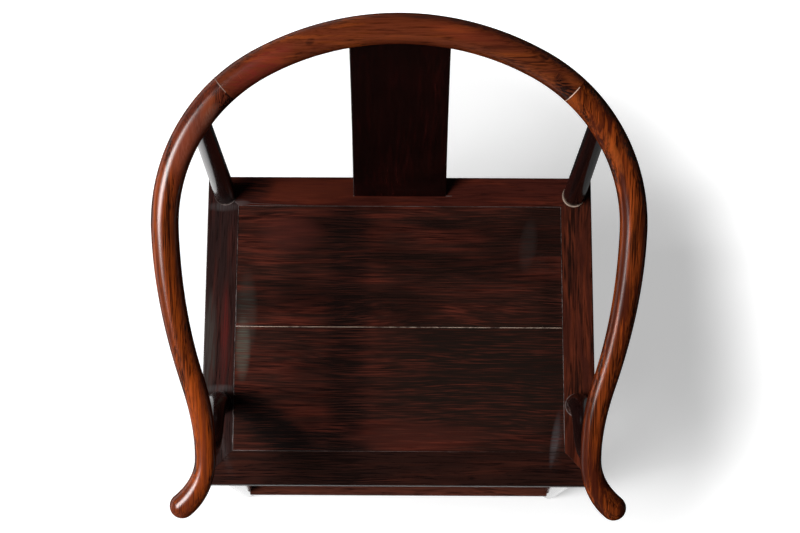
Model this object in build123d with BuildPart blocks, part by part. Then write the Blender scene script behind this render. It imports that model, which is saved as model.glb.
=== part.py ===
from build123d import *
from math import atan2, ceil, cos, degrees, hypot, pi, radians, sin, sqrt
import os

os.makedirs("parts", exist_ok=True)

# Horseshoe back armchair in solid wood, millimetres.
# Floor at z = 0, front towards -Y, left is -X as seen from the front.

# Fits between wooden pieces
fit_gap = 0.2
cut_overrun = 5.0

# Seat frame
seat_height = 503.0
seat_width = 600.0
seat_depth = 480.0
seat_frame_thickness = 32.0
side_rail_width = 48.0
front_rail_width = 51.0
rear_rail_width = 47.0
seat_edge_radius = 2.5
corner_tenon_width = 8.0
corner_tenon_thickness = 12.0
corner_tenon_inset = 4.0

# Floating seat panel of two boards
panel_sink_depth = 0.5
panel_thickness = 14.0
panel_edge_gap = 0.3
panel_tongue_length = 5.5
panel_tongue_thickness = 6.0
panel_tongue_depth = 4.0
groove_depth = 6.3
board_seam_offset = 1.5
seam_tongue_length = 4.0
seam_tongue_thickness = 3.0

# Battens under the panel
batten_offset = 126.0
batten_width = 34.0
batten_bottom_gap = 2.0
batten_key_head_width = 26.0
batten_key_neck_width = 20.0
batten_key_height = 4.0
batten_tenon_length = 12.0
batten_tenon_width = 22.0
batten_tenon_height = 8.0

# Crest rail centre line: tangent arcs in a plane that slopes down to the front
rail_slope = 22.8
rail_back_height = 457.5
rail_back_overhang = 76.8
back_bend_radius = 380.5
back_bend_turn = -28.4
shoulder_bend_radius = 245.4
shoulder_bend_turn = -62.6
side_bend_radius = 763.6
side_bend_turn = -15.8
neck_bend_radius = 342.2
neck_bend_turn = 18.25
hand_bend_radius = 91.5
hand_bend_turn = 48.5

# Crest rail thickness at the middle of the back and at the end of each arc
back_diameter = 40.0
back_end_diameter = 38.6
shoulder_diameter = 36.6
side_diameter = 32.4
neck_diameter = 28.4
hand_diameter = 35.0
ring_spacing = 22.0

# Scarf joints of the crest rail
lap_start_distance = 185.0
lap_end_distance = 245.0
lap_tongue_width = 14.0
lap_tongue_thickness = 6.0
lap_tongue_length = 8.0
pin_head_size = 8.0
pin_tip_size = 6.5
pin_gap = 0.1

# Rear legs, which run up through the seat as the back posts
rear_leg_side_inset = 27.0
rear_leg_back_inset = 28.5
rear_post_distance = 297.0
rear_post_base_diameter = 34.0
rear_post_top_diameter = 27.0
rear_leg_shoulder_diameter = 38.0
rear_leg_foot_diameter = 36.0

# Front legs, tenoned into the seat frame from below
front_leg_side_inset = 32.5
front_leg_front_inset = 28.0
front_leg_splay_x = 8.0
front_leg_splay_y = -4.0
front_leg_top_diameter = 37.0
front_leg_foot_diameter = 35.0
front_leg_tenon_diameter = 20.0
front_leg_tenon_length = 24.0

# Goose-neck arm posts, set back on the side rails
arm_post_side_inset = 28.0
arm_post_front_inset = 122.5
arm_post_distance = 766.0
arm_post_base_diameter = 35.0
arm_post_top_diameter = 26.5
arm_post_tenon_diameter = 18.0
arm_post_tenon_length = 24.0
arm_post_rings = 13

# Round tenons of both posts into the crest rail
post_tenon_diameter = 14.0
post_tenon_past_center_length = 6.0

# Back splat, a board bent to one arc
splat_bottom_width = 145.0
splat_top_width = 133.0
splat_thickness = 16.0
splat_back_inset = 30.5
splat_bow_depth = 14.0
splat_housing_depth = 14.0
splat_top_gap = 9.0

# Footrest and stretchers
footrest_top_height = 100.0
footrest_thickness = 22.0
footrest_width = 46.0
footrest_overhang_depth = 0.5
side_stretcher_height = 150.0
rear_stretcher_height = 200.0
stretcher_section_height = 32.0
stretcher_section_width = 22.0
stretcher_corner_radius = 8.0
footrest_corner_radius = 4.0
stretcher_tenon_length = 10.0
stretcher_tenon_height = 20.0
stretcher_tenon_width = 9.0
footrest_tenon_width = 20.0
footrest_tenon_height = 10.0
footrest_shoulder_share = 0.75
footrest_tenon_share = 0.25

# Aprons under the seat frame
apron_thickness = 13.0
apron_height = 48.0
apron_ear_height = 112.0
apron_ear_width = 24.0
apron_inner_radius = 16.0
apron_ear_radius = 8.0
apron_housing_depth = 6.0

bottom = (Align.CENTER, Align.CENTER, Align.MIN)

rail_bends = (
    (back_bend_radius, back_bend_turn, back_end_diameter),
    (shoulder_bend_radius, shoulder_bend_turn, shoulder_diameter),
    (side_bend_radius, side_bend_turn, side_diameter),
    (neck_bend_radius, neck_bend_turn, neck_diameter),
    (hand_bend_radius, hand_bend_turn, hand_diameter),
)
rail_back_reach = seat_depth / 2 + rail_back_overhang
rail_length = sum(radius * radians(abs(turn)) for radius, turn, end_diameter in rail_bends)


def rail_course(distance):
    """Place, heading and diameter of the rail, a distance along it from the middle of the back.

    The place and heading lie in the rail's own sloping plane. A negative distance is on the left.
    """
    left = distance < 0
    remaining = abs(distance)
    across, along, heading, diameter = 0.0, 0.0, 0.0, back_diameter
    for radius, turn, end_diameter in rail_bends:
        arc_length = radius * radians(abs(turn))
        travelled = min(remaining, arc_length)
        signed_radius = radius if turn > 0 else -radius
        new_heading = heading + travelled / signed_radius
        across += signed_radius * (sin(new_heading) - sin(heading))
        along += signed_radius * (cos(heading) - cos(new_heading))
        heading = new_heading
        ramp = (1 - cos(pi * travelled / arc_length)) / 2
        diameter += (end_diameter - diameter) * ramp
        remaining -= travelled
        if remaining <= 0:
            break
    if left:
        across, heading = -across, -heading
    return across, along, heading, diameter


slope_cos = cos(radians(rail_slope))
slope_sin = sin(radians(rail_slope))
hand_y = rail_back_reach + rail_course(rail_length)[1] * slope_cos
back_outer_y = rail_back_reach + back_diameter / 2
front_outer_y = hand_y - hand_diameter / 2
seat_center_y = -(back_outer_y + front_outer_y) / 2

seat_top = Plane((0, seat_center_y, seat_height))
seat_under = seat_top.offset(-seat_frame_thickness)
rail_origin = Vector(0, seat_center_y + rail_back_reach, seat_height + rail_back_height)
rail_along = Vector(0, slope_cos, slope_sin)
rail_normal = Vector(0, -slope_sin, slope_cos)


def rail_point(distance):
    """Point of the crest rail's centre line."""
    across, along, heading, diameter = rail_course(distance)
    return rail_origin + Vector(across, 0, 0) + rail_along * along


def rail_section(distance):
    """Plane square to the rail: local x is outward, local y is the rail plane's normal."""
    across, along, heading, diameter = rail_course(distance)
    outward = Vector(-sin(heading), 0, 0) + rail_along * cos(heading)
    forward = Vector(cos(heading), 0, 0) + rail_along * sin(heading)
    return Plane(origin=rail_point(distance), x_dir=outward, z_dir=forward)


def rail_rings(start, end, growth=0.0):
    """Round sections of the rail from start to end, grown by a clearance."""
    count = max(2, ceil((end - start) / ring_spacing)) + 1
    rings = []
    for index in range(count):
        distance = start + (end - start) * index / (count - 1)
        diameter = rail_course(distance)[3]
        with BuildSketch(rail_section(distance)) as ring:
            Circle(diameter / 2 + growth)
        rings.append(ring.sketch)
    return rings


def leg_plane(top_point, other_point):
    """Plane at a leg's seat point, its normal along the leg's axis."""
    direction = (other_point - top_point).normalized()
    if direction.Z < 0:
        direction = direction * -1
    return Plane(origin=top_point, x_dir=Vector(0, 1, 0).cross(direction), z_dir=direction)


def axis_point(line, height):
    """Point of a leg's axis at a height over the floor."""
    reach = (height - line.origin.Z) / line.z_dir.Z
    return line.origin + line.z_dir * reach


rear_leg_x = seat_width / 2 - rear_leg_side_inset
rear_leg_y = seat_center_y + seat_depth / 2 - rear_leg_back_inset
front_leg_x = seat_width / 2 - front_leg_side_inset
front_leg_y = seat_center_y - seat_depth / 2 + front_leg_front_inset
arm_post_x = seat_width / 2 - arm_post_side_inset
arm_post_y = seat_center_y - seat_depth / 2 + arm_post_front_inset

rear_seat_point = Vector(rear_leg_x, rear_leg_y, seat_height)
rear_rail_point = rail_point(rear_post_distance)
rear_post_length = (rear_rail_point - rear_seat_point).length
rear_line = leg_plane(rear_seat_point, rear_rail_point)

front_under_height = seat_height - seat_frame_thickness
front_under_point = Vector(front_leg_x, front_leg_y, front_under_height)
front_foot_point = Vector(front_leg_x + front_leg_splay_x, front_leg_y + front_leg_splay_y, 0)
front_line = leg_plane(front_under_point, front_foot_point)

# Arm post: an upright S of two equal arcs from the side rail to the crest rail
arm_base_point = Vector(arm_post_x, arm_post_y, seat_height)
arm_rail_point = rail_point(arm_post_distance)
arm_lean = arm_rail_point - arm_base_point
arm_lean_across = hypot(arm_lean.X, arm_lean.Y)
arm_turn = 2 * atan2(arm_lean_across, arm_lean.Z)
arm_arc_radius = arm_lean.Z / (2 * sin(arm_turn))
arm_across = Vector(arm_lean.X / arm_lean_across, arm_lean.Y / arm_lean_across, 0)
arm_side = Vector(0, 0, 1).cross(arm_across)


def arm_post_section(share):
    """Plane square to the arm post, at a share of its length from the seat."""
    turned = 2 * arm_turn * min(share, 1 - share)
    across = arm_arc_radius * (1 - cos(turned))
    rise = arm_arc_radius * sin(turned)
    if share > 1 / 2:
        across = arm_lean_across - across
        rise = arm_lean.Z - rise
    center = arm_base_point + arm_across * across + Vector(0, 0, rise)
    direction = arm_across * sin(turned) + Vector(0, 0, cos(turned))
    return Plane(origin=center, x_dir=arm_side, z_dir=direction)


def arm_post_sketches():
    """Round sections of the arm post, tapering to the crest rail."""
    rings = []
    for index in range(arm_post_rings):
        share = index / (arm_post_rings - 1)
        taper = arm_post_base_diameter + (arm_post_top_diameter - arm_post_base_diameter) * share
        with BuildSketch(arm_post_section(share)) as ring:
            Circle(taper / 2)
        rings.append(ring.sketch)
    return rings


# Back splat: side profile between two arcs about one centre, cut to its tapering front outline
splat_side = Plane(origin=(0, seat_center_y, seat_height), x_dir=(0, 1, 0), z_dir=(1, 0, 0))
splat_face = Plane(origin=(0, seat_center_y, seat_height), x_dir=(1, 0, 0), z_dir=(0, -1, 0))
splat_bottom_y = seat_depth / 2 - splat_back_inset + splat_thickness / 2
splat_run = rail_back_reach - splat_bottom_y
splat_chord = hypot(splat_run, rail_back_height)
splat_radius = (splat_chord**2 / 4 + splat_bow_depth**2) / (2 * splat_bow_depth)
splat_center_reach = (splat_radius - splat_bow_depth) / splat_chord
splat_center_y = (splat_bottom_y + rail_back_reach) / 2 - splat_center_reach * rail_back_height
splat_center_z = rail_back_height / 2 + splat_center_reach * splat_run
splat_bottom_angle = degrees(atan2(-splat_center_z, splat_bottom_y - splat_center_y))
splat_top_angle = degrees(atan2(rail_back_height - splat_center_z, rail_back_reach - splat_center_y))


def splat_half_width(rise):
    """Half width of the splat at a height over the seat."""
    return (splat_bottom_width + (splat_top_width - splat_bottom_width) * rise / rail_back_height) / 2


def splat_solid(growth):
    """The splat, or the same form grown by a clearance to cut its housings."""
    low_angle = splat_bottom_angle - degrees((splat_housing_depth + growth) / splat_radius)
    high_angle = splat_top_angle - degrees((splat_top_gap - growth) / splat_radius)
    center = (splat_center_y, splat_center_z)
    half = splat_thickness / 2 + growth
    low = -2 * splat_housing_depth
    high = rail_back_height
    with BuildPart() as board:
        with BuildSketch(splat_side):
            with BuildLine():
                rear = CenterArc(center, splat_radius + half, low_angle, high_angle - low_angle)
                front = CenterArc(center, splat_radius - half, low_angle, high_angle - low_angle)
                Line(rear @ 0, front @ 0)
                Line(rear @ 1, front @ 1)
            make_face()
        extrude(amount=splat_bottom_width, both=True)
        with BuildSketch(splat_face):
            with BuildLine():
                Polyline(
                    (-splat_half_width(low) - growth, low),
                    (splat_half_width(low) + growth, low),
                    (splat_half_width(high) + growth, high),
                    (-splat_half_width(high) - growth, high),
                    close=True,
                )
            make_face()
        extrude(amount=-(rail_back_reach + splat_bottom_width), mode=Mode.INTERSECT)
    return board.part


splat_body = splat_solid(0)
splat_slot = splat_solid(fit_gap)

with BuildPart() as back_splat:
    add(splat_body)

# Seat frame outline, shared by its four members
half_width = seat_width / 2
half_depth = seat_depth / 2
inner_x = half_width - side_rail_width
inner_front = -half_depth + front_rail_width
inner_rear = half_depth - rear_rail_width
opening_width = 2 * inner_x
opening_depth = inner_rear - inner_front
opening_y = (inner_rear + inner_front) / 2
corner_tenon_top = (seat_frame_thickness - corner_tenon_thickness) / 2


def corner_tenons(side, growth, mode):
    """Tenons of a front (-1) or rear (1) member into both side members."""
    y_place = side * (half_depth - corner_tenon_inset - corner_tenon_width / 2)
    with BuildSketch(seat_top.offset(-corner_tenon_top + growth)) as tenons:
        with Locations((half_width - side_rail_width / 2, y_place)):
            Rectangle(side_rail_width, corner_tenon_width + 2 * growth)
        with Locations((-half_width + side_rail_width / 2, y_place)):
            Rectangle(side_rail_width, corner_tenon_width + 2 * growth)
    extrude(tenons.sketch, amount=-corner_tenon_thickness - 2 * growth, mode=mode)


def panel_groove():
    """Groove for the panel's tongues, cut from the member being made."""
    groove_top = panel_sink_depth + panel_tongue_depth - fit_gap
    with BuildSketch(seat_top.offset(-groove_top)) as groove:
        with Locations((0, opening_y)):
            Rectangle(opening_width + 2 * groove_depth, opening_depth + 2 * groove_depth)
    extrude(groove.sketch, amount=-panel_tongue_thickness - 2 * fit_gap, mode=Mode.SUBTRACT)


def rear_leg_holes():
    """Round holes that the rear legs pass through, in both rear corners."""
    hole_radius = rear_post_base_diameter / 2 + fit_gap
    reach = seat_frame_thickness + 2 * cut_overrun
    for side in (1, -1):
        line = rear_line if side > 0 else mirrored(rear_line)
        with Locations(line.offset(-seat_frame_thickness - cut_overrun)):
            Cylinder(hole_radius, reach, align=bottom, mode=Mode.SUBTRACT)


def front_leg_mortises():
    """Blind holes for the front legs' tenons, in both front corners."""
    radius = front_leg_tenon_diameter / 2 + fit_gap
    for side in (1, -1):
        line = front_line if side > 0 else mirrored(front_line)
        with Locations(line.offset(-cut_overrun)):
            Cylinder(
                radius,
                front_leg_tenon_length + cut_overrun + fit_gap,
                align=bottom,
                mode=Mode.SUBTRACT,
            )


def mirrored(line):
    """The same axis plane on the left side."""
    origin = Vector(-line.origin.X, line.origin.Y, line.origin.Z)
    direction = Vector(-line.z_dir.X, line.z_dir.Y, line.z_dir.Z)
    return Plane(origin=origin, x_dir=Vector(0, 1, 0).cross(direction), z_dir=direction)


def batten_tenons(growth, mode):
    """Stub tenons at both ends of both battens, or the mortises for them."""
    top_depth = panel_sink_depth + panel_thickness + (batten_depth - batten_tenon_height) / 2
    with BuildSketch(seat_top.offset(-top_depth + growth)) as stubs:
        for side in (1, -1):
            with Locations((side * batten_offset, opening_y)):
                Rectangle(
                    batten_tenon_width + 2 * growth,
                    opening_depth + 2 * batten_tenon_length + 2 * growth,
                )
    extrude(stubs.sketch, amount=-batten_tenon_height - 2 * growth, mode=mode)


panel_under = panel_sink_depth + panel_thickness
batten_depth = seat_frame_thickness - batten_bottom_gap - panel_under

with BuildPart() as seat_rail_front:
    with BuildSketch(seat_top):
        with BuildLine():
            Polyline(
                (-half_width, -half_depth),
                (half_width, -half_depth),
                (inner_x, inner_front),
                (-inner_x, inner_front),
                close=True,
            )
        make_face()
    extrude(amount=-seat_frame_thickness)
    outer_edges = seat_rail_front.edges().filter_by(Axis.X).group_by(Axis.Y)[0]
    fillet(outer_edges, seat_edge_radius)
    corner_tenons(-1, 0, Mode.ADD)
    panel_groove()
    front_leg_mortises()
    batten_tenons(fit_gap, Mode.SUBTRACT)

with BuildPart() as seat_rail_rear:
    with BuildSketch(seat_top):
        with BuildLine():
            Polyline(
                (-half_width, half_depth),
                (half_width, half_depth),
                (inner_x, inner_rear),
                (-inner_x, inner_rear),
                close=True,
            )
        make_face()
    extrude(amount=-seat_frame_thickness)
    outer_edges = seat_rail_rear.edges().filter_by(Axis.X).group_by(Axis.Y)[-1]
    fillet(outer_edges, seat_edge_radius)
    corner_tenons(1, 0, Mode.ADD)
    panel_groove()
    rear_leg_holes()
    batten_tenons(fit_gap, Mode.SUBTRACT)
    add(splat_slot, mode=Mode.SUBTRACT)

with BuildPart() as seat_rail_right:
    with BuildSketch(seat_top):
        with BuildLine():
            Polyline(
                (half_width, -half_depth),
                (half_width, half_depth),
                (inner_x, inner_rear),
                (inner_x, inner_front),
                close=True,
            )
        make_face()
    extrude(amount=-seat_frame_thickness)
    outer_edges = seat_rail_right.edges().filter_by(Axis.Y).group_by(Axis.X)[-1]
    fillet(outer_edges, seat_edge_radius)
    corner_tenons(-1, fit_gap, Mode.SUBTRACT)
    corner_tenons(1, fit_gap, Mode.SUBTRACT)
    panel_groove()
    rear_leg_holes()
    front_leg_mortises()
    with Locations(arm_base_point):
        Cylinder(
            arm_post_tenon_diameter / 2 + fit_gap,
            2 * (arm_post_tenon_length + fit_gap),
            mode=Mode.SUBTRACT,
        )

with BuildPart() as seat_rail_left:
    mirror(seat_rail_right.part, about=Plane.YZ)

# The panel boards: tongues round three sides, and a tongued seam between the two
board_half = inner_x - panel_edge_gap
tongue_half = inner_x + panel_tongue_length
board_front = inner_front + panel_edge_gap
board_rear = inner_rear - panel_edge_gap
tongue_front = inner_front - panel_tongue_length
tongue_rear = inner_rear + panel_tongue_length
seam_tongue_y = board_seam_offset + seam_tongue_length
board_plane = seat_top.offset(-panel_sink_depth)
tongue_plane = board_plane.offset(-panel_tongue_depth)
seam_plane = tongue_plane.offset(-(panel_tongue_thickness - seam_tongue_thickness) / 2)


def box_between(plane, x_limit, y_low, y_high, depth, mode):
    """Block under a plane, x_limit to both sides, between two places in y."""
    with BuildSketch(plane) as outline:
        with Locations((0, (y_low + y_high) / 2)):
            Rectangle(2 * x_limit, y_high - y_low)
    extrude(outline.sketch, amount=-depth, mode=mode)


def batten_keys(growth, mode):
    """Dovetail keys of the battens, or the channels for them in the boards."""
    lower = seat_height - panel_under
    upper = lower + batten_key_height
    half_neck = batten_key_neck_width / 2 + growth
    half_head = batten_key_head_width / 2 + growth
    for middle in (batten_offset, -batten_offset):
        with BuildSketch(Plane.XZ.offset(-(seat_center_y + inner_rear))) as key:
            with BuildLine():
                Polyline(
                    (middle - half_neck, lower),
                    (middle + half_neck, lower),
                    (middle + half_head, upper + growth),
                    (middle - half_head, upper + growth),
                    close=True,
                )
            make_face()
        extrude(key.sketch, amount=opening_depth, mode=mode)


with BuildPart() as seat_board_front:
    box_between(board_plane, board_half, board_front, board_seam_offset, panel_thickness, Mode.ADD)
    box_between(
        tongue_plane, tongue_half, tongue_front, board_seam_offset, panel_tongue_thickness, Mode.ADD
    )
    box_between(seam_plane, board_half, board_seam_offset, seam_tongue_y, seam_tongue_thickness, Mode.ADD)
    batten_keys(fit_gap, Mode.SUBTRACT)

with BuildPart() as seat_board_rear:
    box_between(board_plane, board_half, board_seam_offset, board_rear, panel_thickness, Mode.ADD)
    box_between(tongue_plane, tongue_half, board_seam_offset, tongue_rear, panel_tongue_thickness, Mode.ADD)
    box_between(
        seam_plane.offset(fit_gap),
        tongue_half,
        board_seam_offset,
        seam_tongue_y + fit_gap,
        seam_tongue_thickness + 2 * fit_gap,
        Mode.SUBTRACT,
    )
    batten_keys(fit_gap, Mode.SUBTRACT)

with BuildPart() as seat_batten_right:
    with BuildSketch(seat_top.offset(-panel_under)):
        with Locations((batten_offset, opening_y)):
            Rectangle(batten_width, opening_depth)
    extrude(amount=-batten_depth)
    batten_keys(0, Mode.ADD)
    batten_tenons(0, Mode.ADD)
    split(bisect_by=Plane.YZ, keep=Keep.TOP)

with BuildPart() as seat_batten_left:
    mirror(seat_batten_right.part, about=Plane.YZ)

# Crest rail in three lengths, joined by half laps with end tongues and a wedge pin
lap_length = lap_end_distance - lap_start_distance
lap_middle = (lap_start_distance + lap_end_distance) / 2


def scarf_pin(side, growth, mode):
    """Square tapering pin through the middle of a lap, or the hole for it."""
    section = rail_section(side * lap_middle)
    reach = back_diameter / 2 + cut_overrun
    plane = Plane(origin=section.origin, x_dir=section.z_dir, z_dir=rail_normal)
    with BuildSketch(plane.offset(-reach)) as tip:
        Rectangle(pin_tip_size + 2 * growth, pin_tip_size + 2 * growth)
    with BuildSketch(plane.offset(reach)) as head:
        Rectangle(pin_head_size + 2 * growth, pin_head_size + 2 * growth)
    loft(sections=[tip.sketch, head.sketch], mode=mode)


with BuildPart() as crest_rail_center:
    loft(sections=rail_rings(-lap_end_distance, lap_end_distance))
    for side in (1, -1):
        with BuildSketch(rail_section(side * lap_start_distance)):
            with Locations((0, -back_diameter / 2)):
                Rectangle(2 * back_diameter, back_diameter)
        extrude(amount=side * (lap_length + back_diameter), mode=Mode.SUBTRACT)
        with BuildSketch(rail_section(side * lap_end_distance)):
            with Locations((0, lap_tongue_thickness / 2)):
                Rectangle(lap_tongue_width, lap_tongue_thickness)
        extrude(amount=side * lap_tongue_length)
        with BuildSketch(rail_section(side * lap_start_distance)):
            with Locations((0, -(lap_tongue_thickness + fit_gap) / 2)):
                Rectangle(lap_tongue_width + 2 * fit_gap, lap_tongue_thickness + fit_gap)
        extrude(amount=-side * (lap_tongue_length + fit_gap), mode=Mode.SUBTRACT)
        scarf_pin(side, pin_gap, Mode.SUBTRACT)
    add(splat_slot, mode=Mode.SUBTRACT)

post_tenon_radius = post_tenon_diameter / 2
rear_rail_radius = rail_course(rear_post_distance)[3] / 2
arm_rail_radius = rail_course(arm_post_distance)[3] / 2
arm_top = arm_post_section(1)
rear_top = rear_line.offset(rear_post_length)

with BuildPart() as crest_rail_right_arm:
    loft(sections=rail_rings(lap_start_distance, rail_length))
    with Locations(rail_section(rail_length)):
        Sphere(hand_diameter / 2)
    with BuildSketch(rail_section(lap_end_distance)):
        with Locations((0, back_diameter / 2)):
            Rectangle(2 * back_diameter, back_diameter)
    extrude(amount=-(lap_length + back_diameter), mode=Mode.SUBTRACT)
    with BuildSketch(rail_section(lap_start_distance)):
        with Locations((0, -lap_tongue_thickness / 2)):
            Rectangle(lap_tongue_width, lap_tongue_thickness)
    extrude(amount=-lap_tongue_length)
    with BuildSketch(rail_section(lap_end_distance)):
        with Locations((0, (lap_tongue_thickness + fit_gap) / 2)):
            Rectangle(lap_tongue_width + 2 * fit_gap, lap_tongue_thickness + fit_gap)
    extrude(amount=lap_tongue_length + fit_gap, mode=Mode.SUBTRACT)
    scarf_pin(1, pin_gap, Mode.SUBTRACT)
    for top, rail_radius in ((rear_top, rear_rail_radius), (arm_top, arm_rail_radius)):
        hole_depth = rail_radius + 2 * cut_overrun
        with Locations(top.offset(-hole_depth)):
            Cylinder(
                post_tenon_radius + fit_gap,
                hole_depth + post_tenon_past_center_length + fit_gap,
                align=bottom,
                mode=Mode.SUBTRACT,
            )

with BuildPart() as crest_rail_left_arm:
    mirror(crest_rail_right_arm.part, about=Plane.YZ)

with BuildPart() as scarf_pin_right:
    scarf_pin(1, 0, Mode.ADD)
    loft(sections=rail_rings(lap_start_distance, lap_end_distance), mode=Mode.INTERSECT)

with BuildPart() as scarf_pin_left:
    mirror(scarf_pin_right.part, about=Plane.YZ)

# Legs, with the housings that the aprons, stretchers and footrest enter
front_leg_reach = (front_under_point - front_foot_point).length
rear_leg_reach = seat_height / rear_line.z_dir.Z


def leg_radius(foot_diameter, top_diameter, height):
    """Radius of a leg at a height over the floor."""
    share = height / front_under_height
    return (foot_diameter + (top_diameter - foot_diameter) * share) / 2


def leg_axes(height):
    """Axis points of the right front and right rear legs at a height."""
    return axis_point(front_line, height), axis_point(rear_line, height)


def stretcher_bar(start, end, start_radius, end_radius, growth, mode):
    """Rounded bar between two leg axes, housed in both legs and tenoned further in."""
    span = (end - start).length
    line = Plane(origin=start, x_dir=(0, 0, 1), z_dir=end - start)
    start_depth = sqrt(start_radius**2 - stretcher_section_width**2 / 4)
    end_depth = sqrt(end_radius**2 - stretcher_section_width**2 / 4)
    body_length = span - start_depth - end_depth
    with BuildSketch(line.offset(start_depth)) as section:
        RectangleRounded(
            stretcher_section_height + 2 * growth,
            stretcher_section_width + 2 * growth,
            stretcher_corner_radius,
        )
    extrude(section.sketch, amount=body_length, mode=mode)
    with BuildSketch(line.offset(start_depth - stretcher_tenon_length)) as tenon:
        Rectangle(stretcher_tenon_height + 2 * growth, stretcher_tenon_width + 2 * growth)
    extrude(tenon.sketch, amount=body_length + 2 * stretcher_tenon_length, mode=mode)


def side_stretcher(growth, mode):
    """Stretcher between the right front leg and the right rear leg."""
    start, end = leg_axes(side_stretcher_height)
    front_radius = leg_radius(front_leg_foot_diameter, front_leg_top_diameter, side_stretcher_height)
    rear_radius = leg_radius(rear_leg_foot_diameter, rear_leg_shoulder_diameter, side_stretcher_height)
    stretcher_bar(start, end, front_radius, rear_radius, growth, mode)


def back_stretcher(growth, mode):
    """Stretcher between the two rear legs."""
    end = leg_axes(rear_stretcher_height)[1]
    start = Vector(-end.X, end.Y, end.Z)
    radius = leg_radius(rear_leg_foot_diameter, rear_leg_shoulder_diameter, rear_stretcher_height)
    stretcher_bar(start, end, radius, radius, growth, mode)


footrest_height = footrest_top_height - footrest_thickness / 2
footrest_axis = axis_point(front_line, footrest_height)
footrest_leg_radius = leg_radius(front_leg_foot_diameter, front_leg_top_diameter, footrest_height)
footrest_center_y = footrest_axis.Y - footrest_leg_radius - footrest_overhang_depth + footrest_width / 2
footrest_shoulder = footrest_leg_radius * footrest_shoulder_share


def footrest_tenons(growth, mode):
    """Stub tenons of the footrest into both front legs, or their mortises."""
    half_length = footrest_axis.X - footrest_leg_radius * footrest_tenon_share
    with BuildSketch(Plane.YZ.offset(-half_length)) as tenon:
        with Locations((footrest_axis.Y, footrest_height)):
            Rectangle(footrest_tenon_width + 2 * growth, footrest_tenon_height + 2 * growth)
    extrude(tenon.sketch, amount=2 * half_length, mode=mode)


def front_leg_body(line, growth, mode):
    """Tapering round front leg, running on a little past both ends."""
    with Locations(line.offset(-front_leg_reach - cut_overrun)):
        Cone(
            front_leg_foot_diameter / 2 + growth,
            front_leg_top_diameter / 2 + growth,
            front_leg_reach + 2 * cut_overrun,
            align=bottom,
            mode=mode,
        )


# Places of the aprons: each plane's origin is at the middle of the apron's top edge
front_axis_top, rear_axis_top = leg_axes(front_under_height)
side_run = rear_axis_top - front_axis_top
front_apron_plane = Plane(
    origin=(0, front_axis_top.Y, front_under_height), x_dir=(1, 0, 0), z_dir=(0, -1, 0)
)
rear_apron_plane = Plane(
    origin=(0, rear_axis_top.Y, front_under_height), x_dir=(-1, 0, 0), z_dir=(0, 1, 0)
)
side_apron_plane = Plane(
    origin=(front_axis_top + rear_axis_top) / 2,
    x_dir=side_run,
    z_dir=(side_run.Y, -side_run.X, 0),
)
front_apron_half = front_axis_top.X - front_leg_top_diameter / 2 + apron_housing_depth
rear_apron_half = rear_axis_top.X - rear_leg_shoulder_diameter / 2 + apron_housing_depth
side_apron_half = side_run.length / 2 - rear_leg_shoulder_diameter / 2 + apron_housing_depth


def apron_board(plane, half_length):
    """Board under the seat frame, its lower edge arched between two ears."""
    inner = half_length - apron_ear_width - apron_housing_depth
    with BuildSketch(plane) as face:
        with BuildLine():
            Polyline(
                (-half_length, 0),
                (half_length, 0),
                (half_length, -apron_ear_height),
                (inner, -apron_ear_height),
                (inner, -apron_height),
                (-inner, -apron_height),
                (-inner, -apron_ear_height),
                (-half_length, -apron_ear_height),
                close=True,
            )
        make_face()
        inner_corners = face.vertices().group_by(Axis.Y)[1]
        fillet(inner_corners, apron_inner_radius)
        ear_corners = face.vertices().group_by(Axis.Y)[0]
        fillet(ear_corners.sort_by(lambda corner: abs(corner.X))[:2], apron_ear_radius)
    extrude(face.sketch, amount=apron_thickness / 2, both=True)


def apron_slot(plane, half_length):
    """Slot for an apron's end, cut from the leg being made."""
    with Locations(plane):
        Box(
            2 * half_length,
            apron_ear_height + fit_gap,
            apron_thickness + 2 * fit_gap,
            align=(Align.CENTER, Align.MAX, Align.CENTER),
            mode=Mode.SUBTRACT,
        )


with BuildPart() as front_leg_right:
    front_leg_body(front_line, 0, Mode.ADD)
    split(bisect_by=seat_under, keep=Keep.BOTTOM)
    split(bisect_by=Plane.XY, keep=Keep.TOP)
    with Locations(front_line.offset(-cut_overrun)):
        Cylinder(front_leg_tenon_diameter / 2, front_leg_tenon_length + cut_overrun, align=bottom)
    apron_slot(front_apron_plane, front_apron_half)
    apron_slot(side_apron_plane, side_apron_half)
    side_stretcher(fit_gap, Mode.SUBTRACT)
    footrest_tenons(fit_gap, Mode.SUBTRACT)

with BuildPart() as front_leg_left:
    mirror(front_leg_right.part, about=Plane.YZ)

with BuildPart() as rear_leg_right:
    with Locations(rear_line.offset(-rear_leg_reach - cut_overrun)):
        Cone(
            rear_leg_foot_diameter / 2,
            rear_leg_shoulder_diameter / 2,
            rear_leg_reach + cut_overrun,
            align=bottom,
        )
    split(bisect_by=seat_under, keep=Keep.BOTTOM)
    split(bisect_by=Plane.XY, keep=Keep.TOP)
    with Locations(rear_line.offset(-seat_frame_thickness - cut_overrun)):
        Cylinder(rear_post_base_diameter / 2, seat_frame_thickness + cut_overrun, align=bottom)
    with Locations(rear_line):
        Cone(rear_post_base_diameter / 2, rear_post_top_diameter / 2, rear_post_length, align=bottom)
    loft(
        sections=rail_rings(
            rear_post_distance - back_diameter, rear_post_distance + back_diameter, fit_gap
        ),
        mode=Mode.SUBTRACT,
    )
    with Locations(rear_top.offset(-rear_rail_radius - cut_overrun)):
        Cylinder(
            post_tenon_radius,
            rear_rail_radius + cut_overrun + post_tenon_past_center_length,
            align=bottom,
        )
    apron_slot(rear_apron_plane, rear_apron_half)
    apron_slot(side_apron_plane, side_apron_half)
    side_stretcher(fit_gap, Mode.SUBTRACT)
    back_stretcher(fit_gap, Mode.SUBTRACT)

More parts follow.
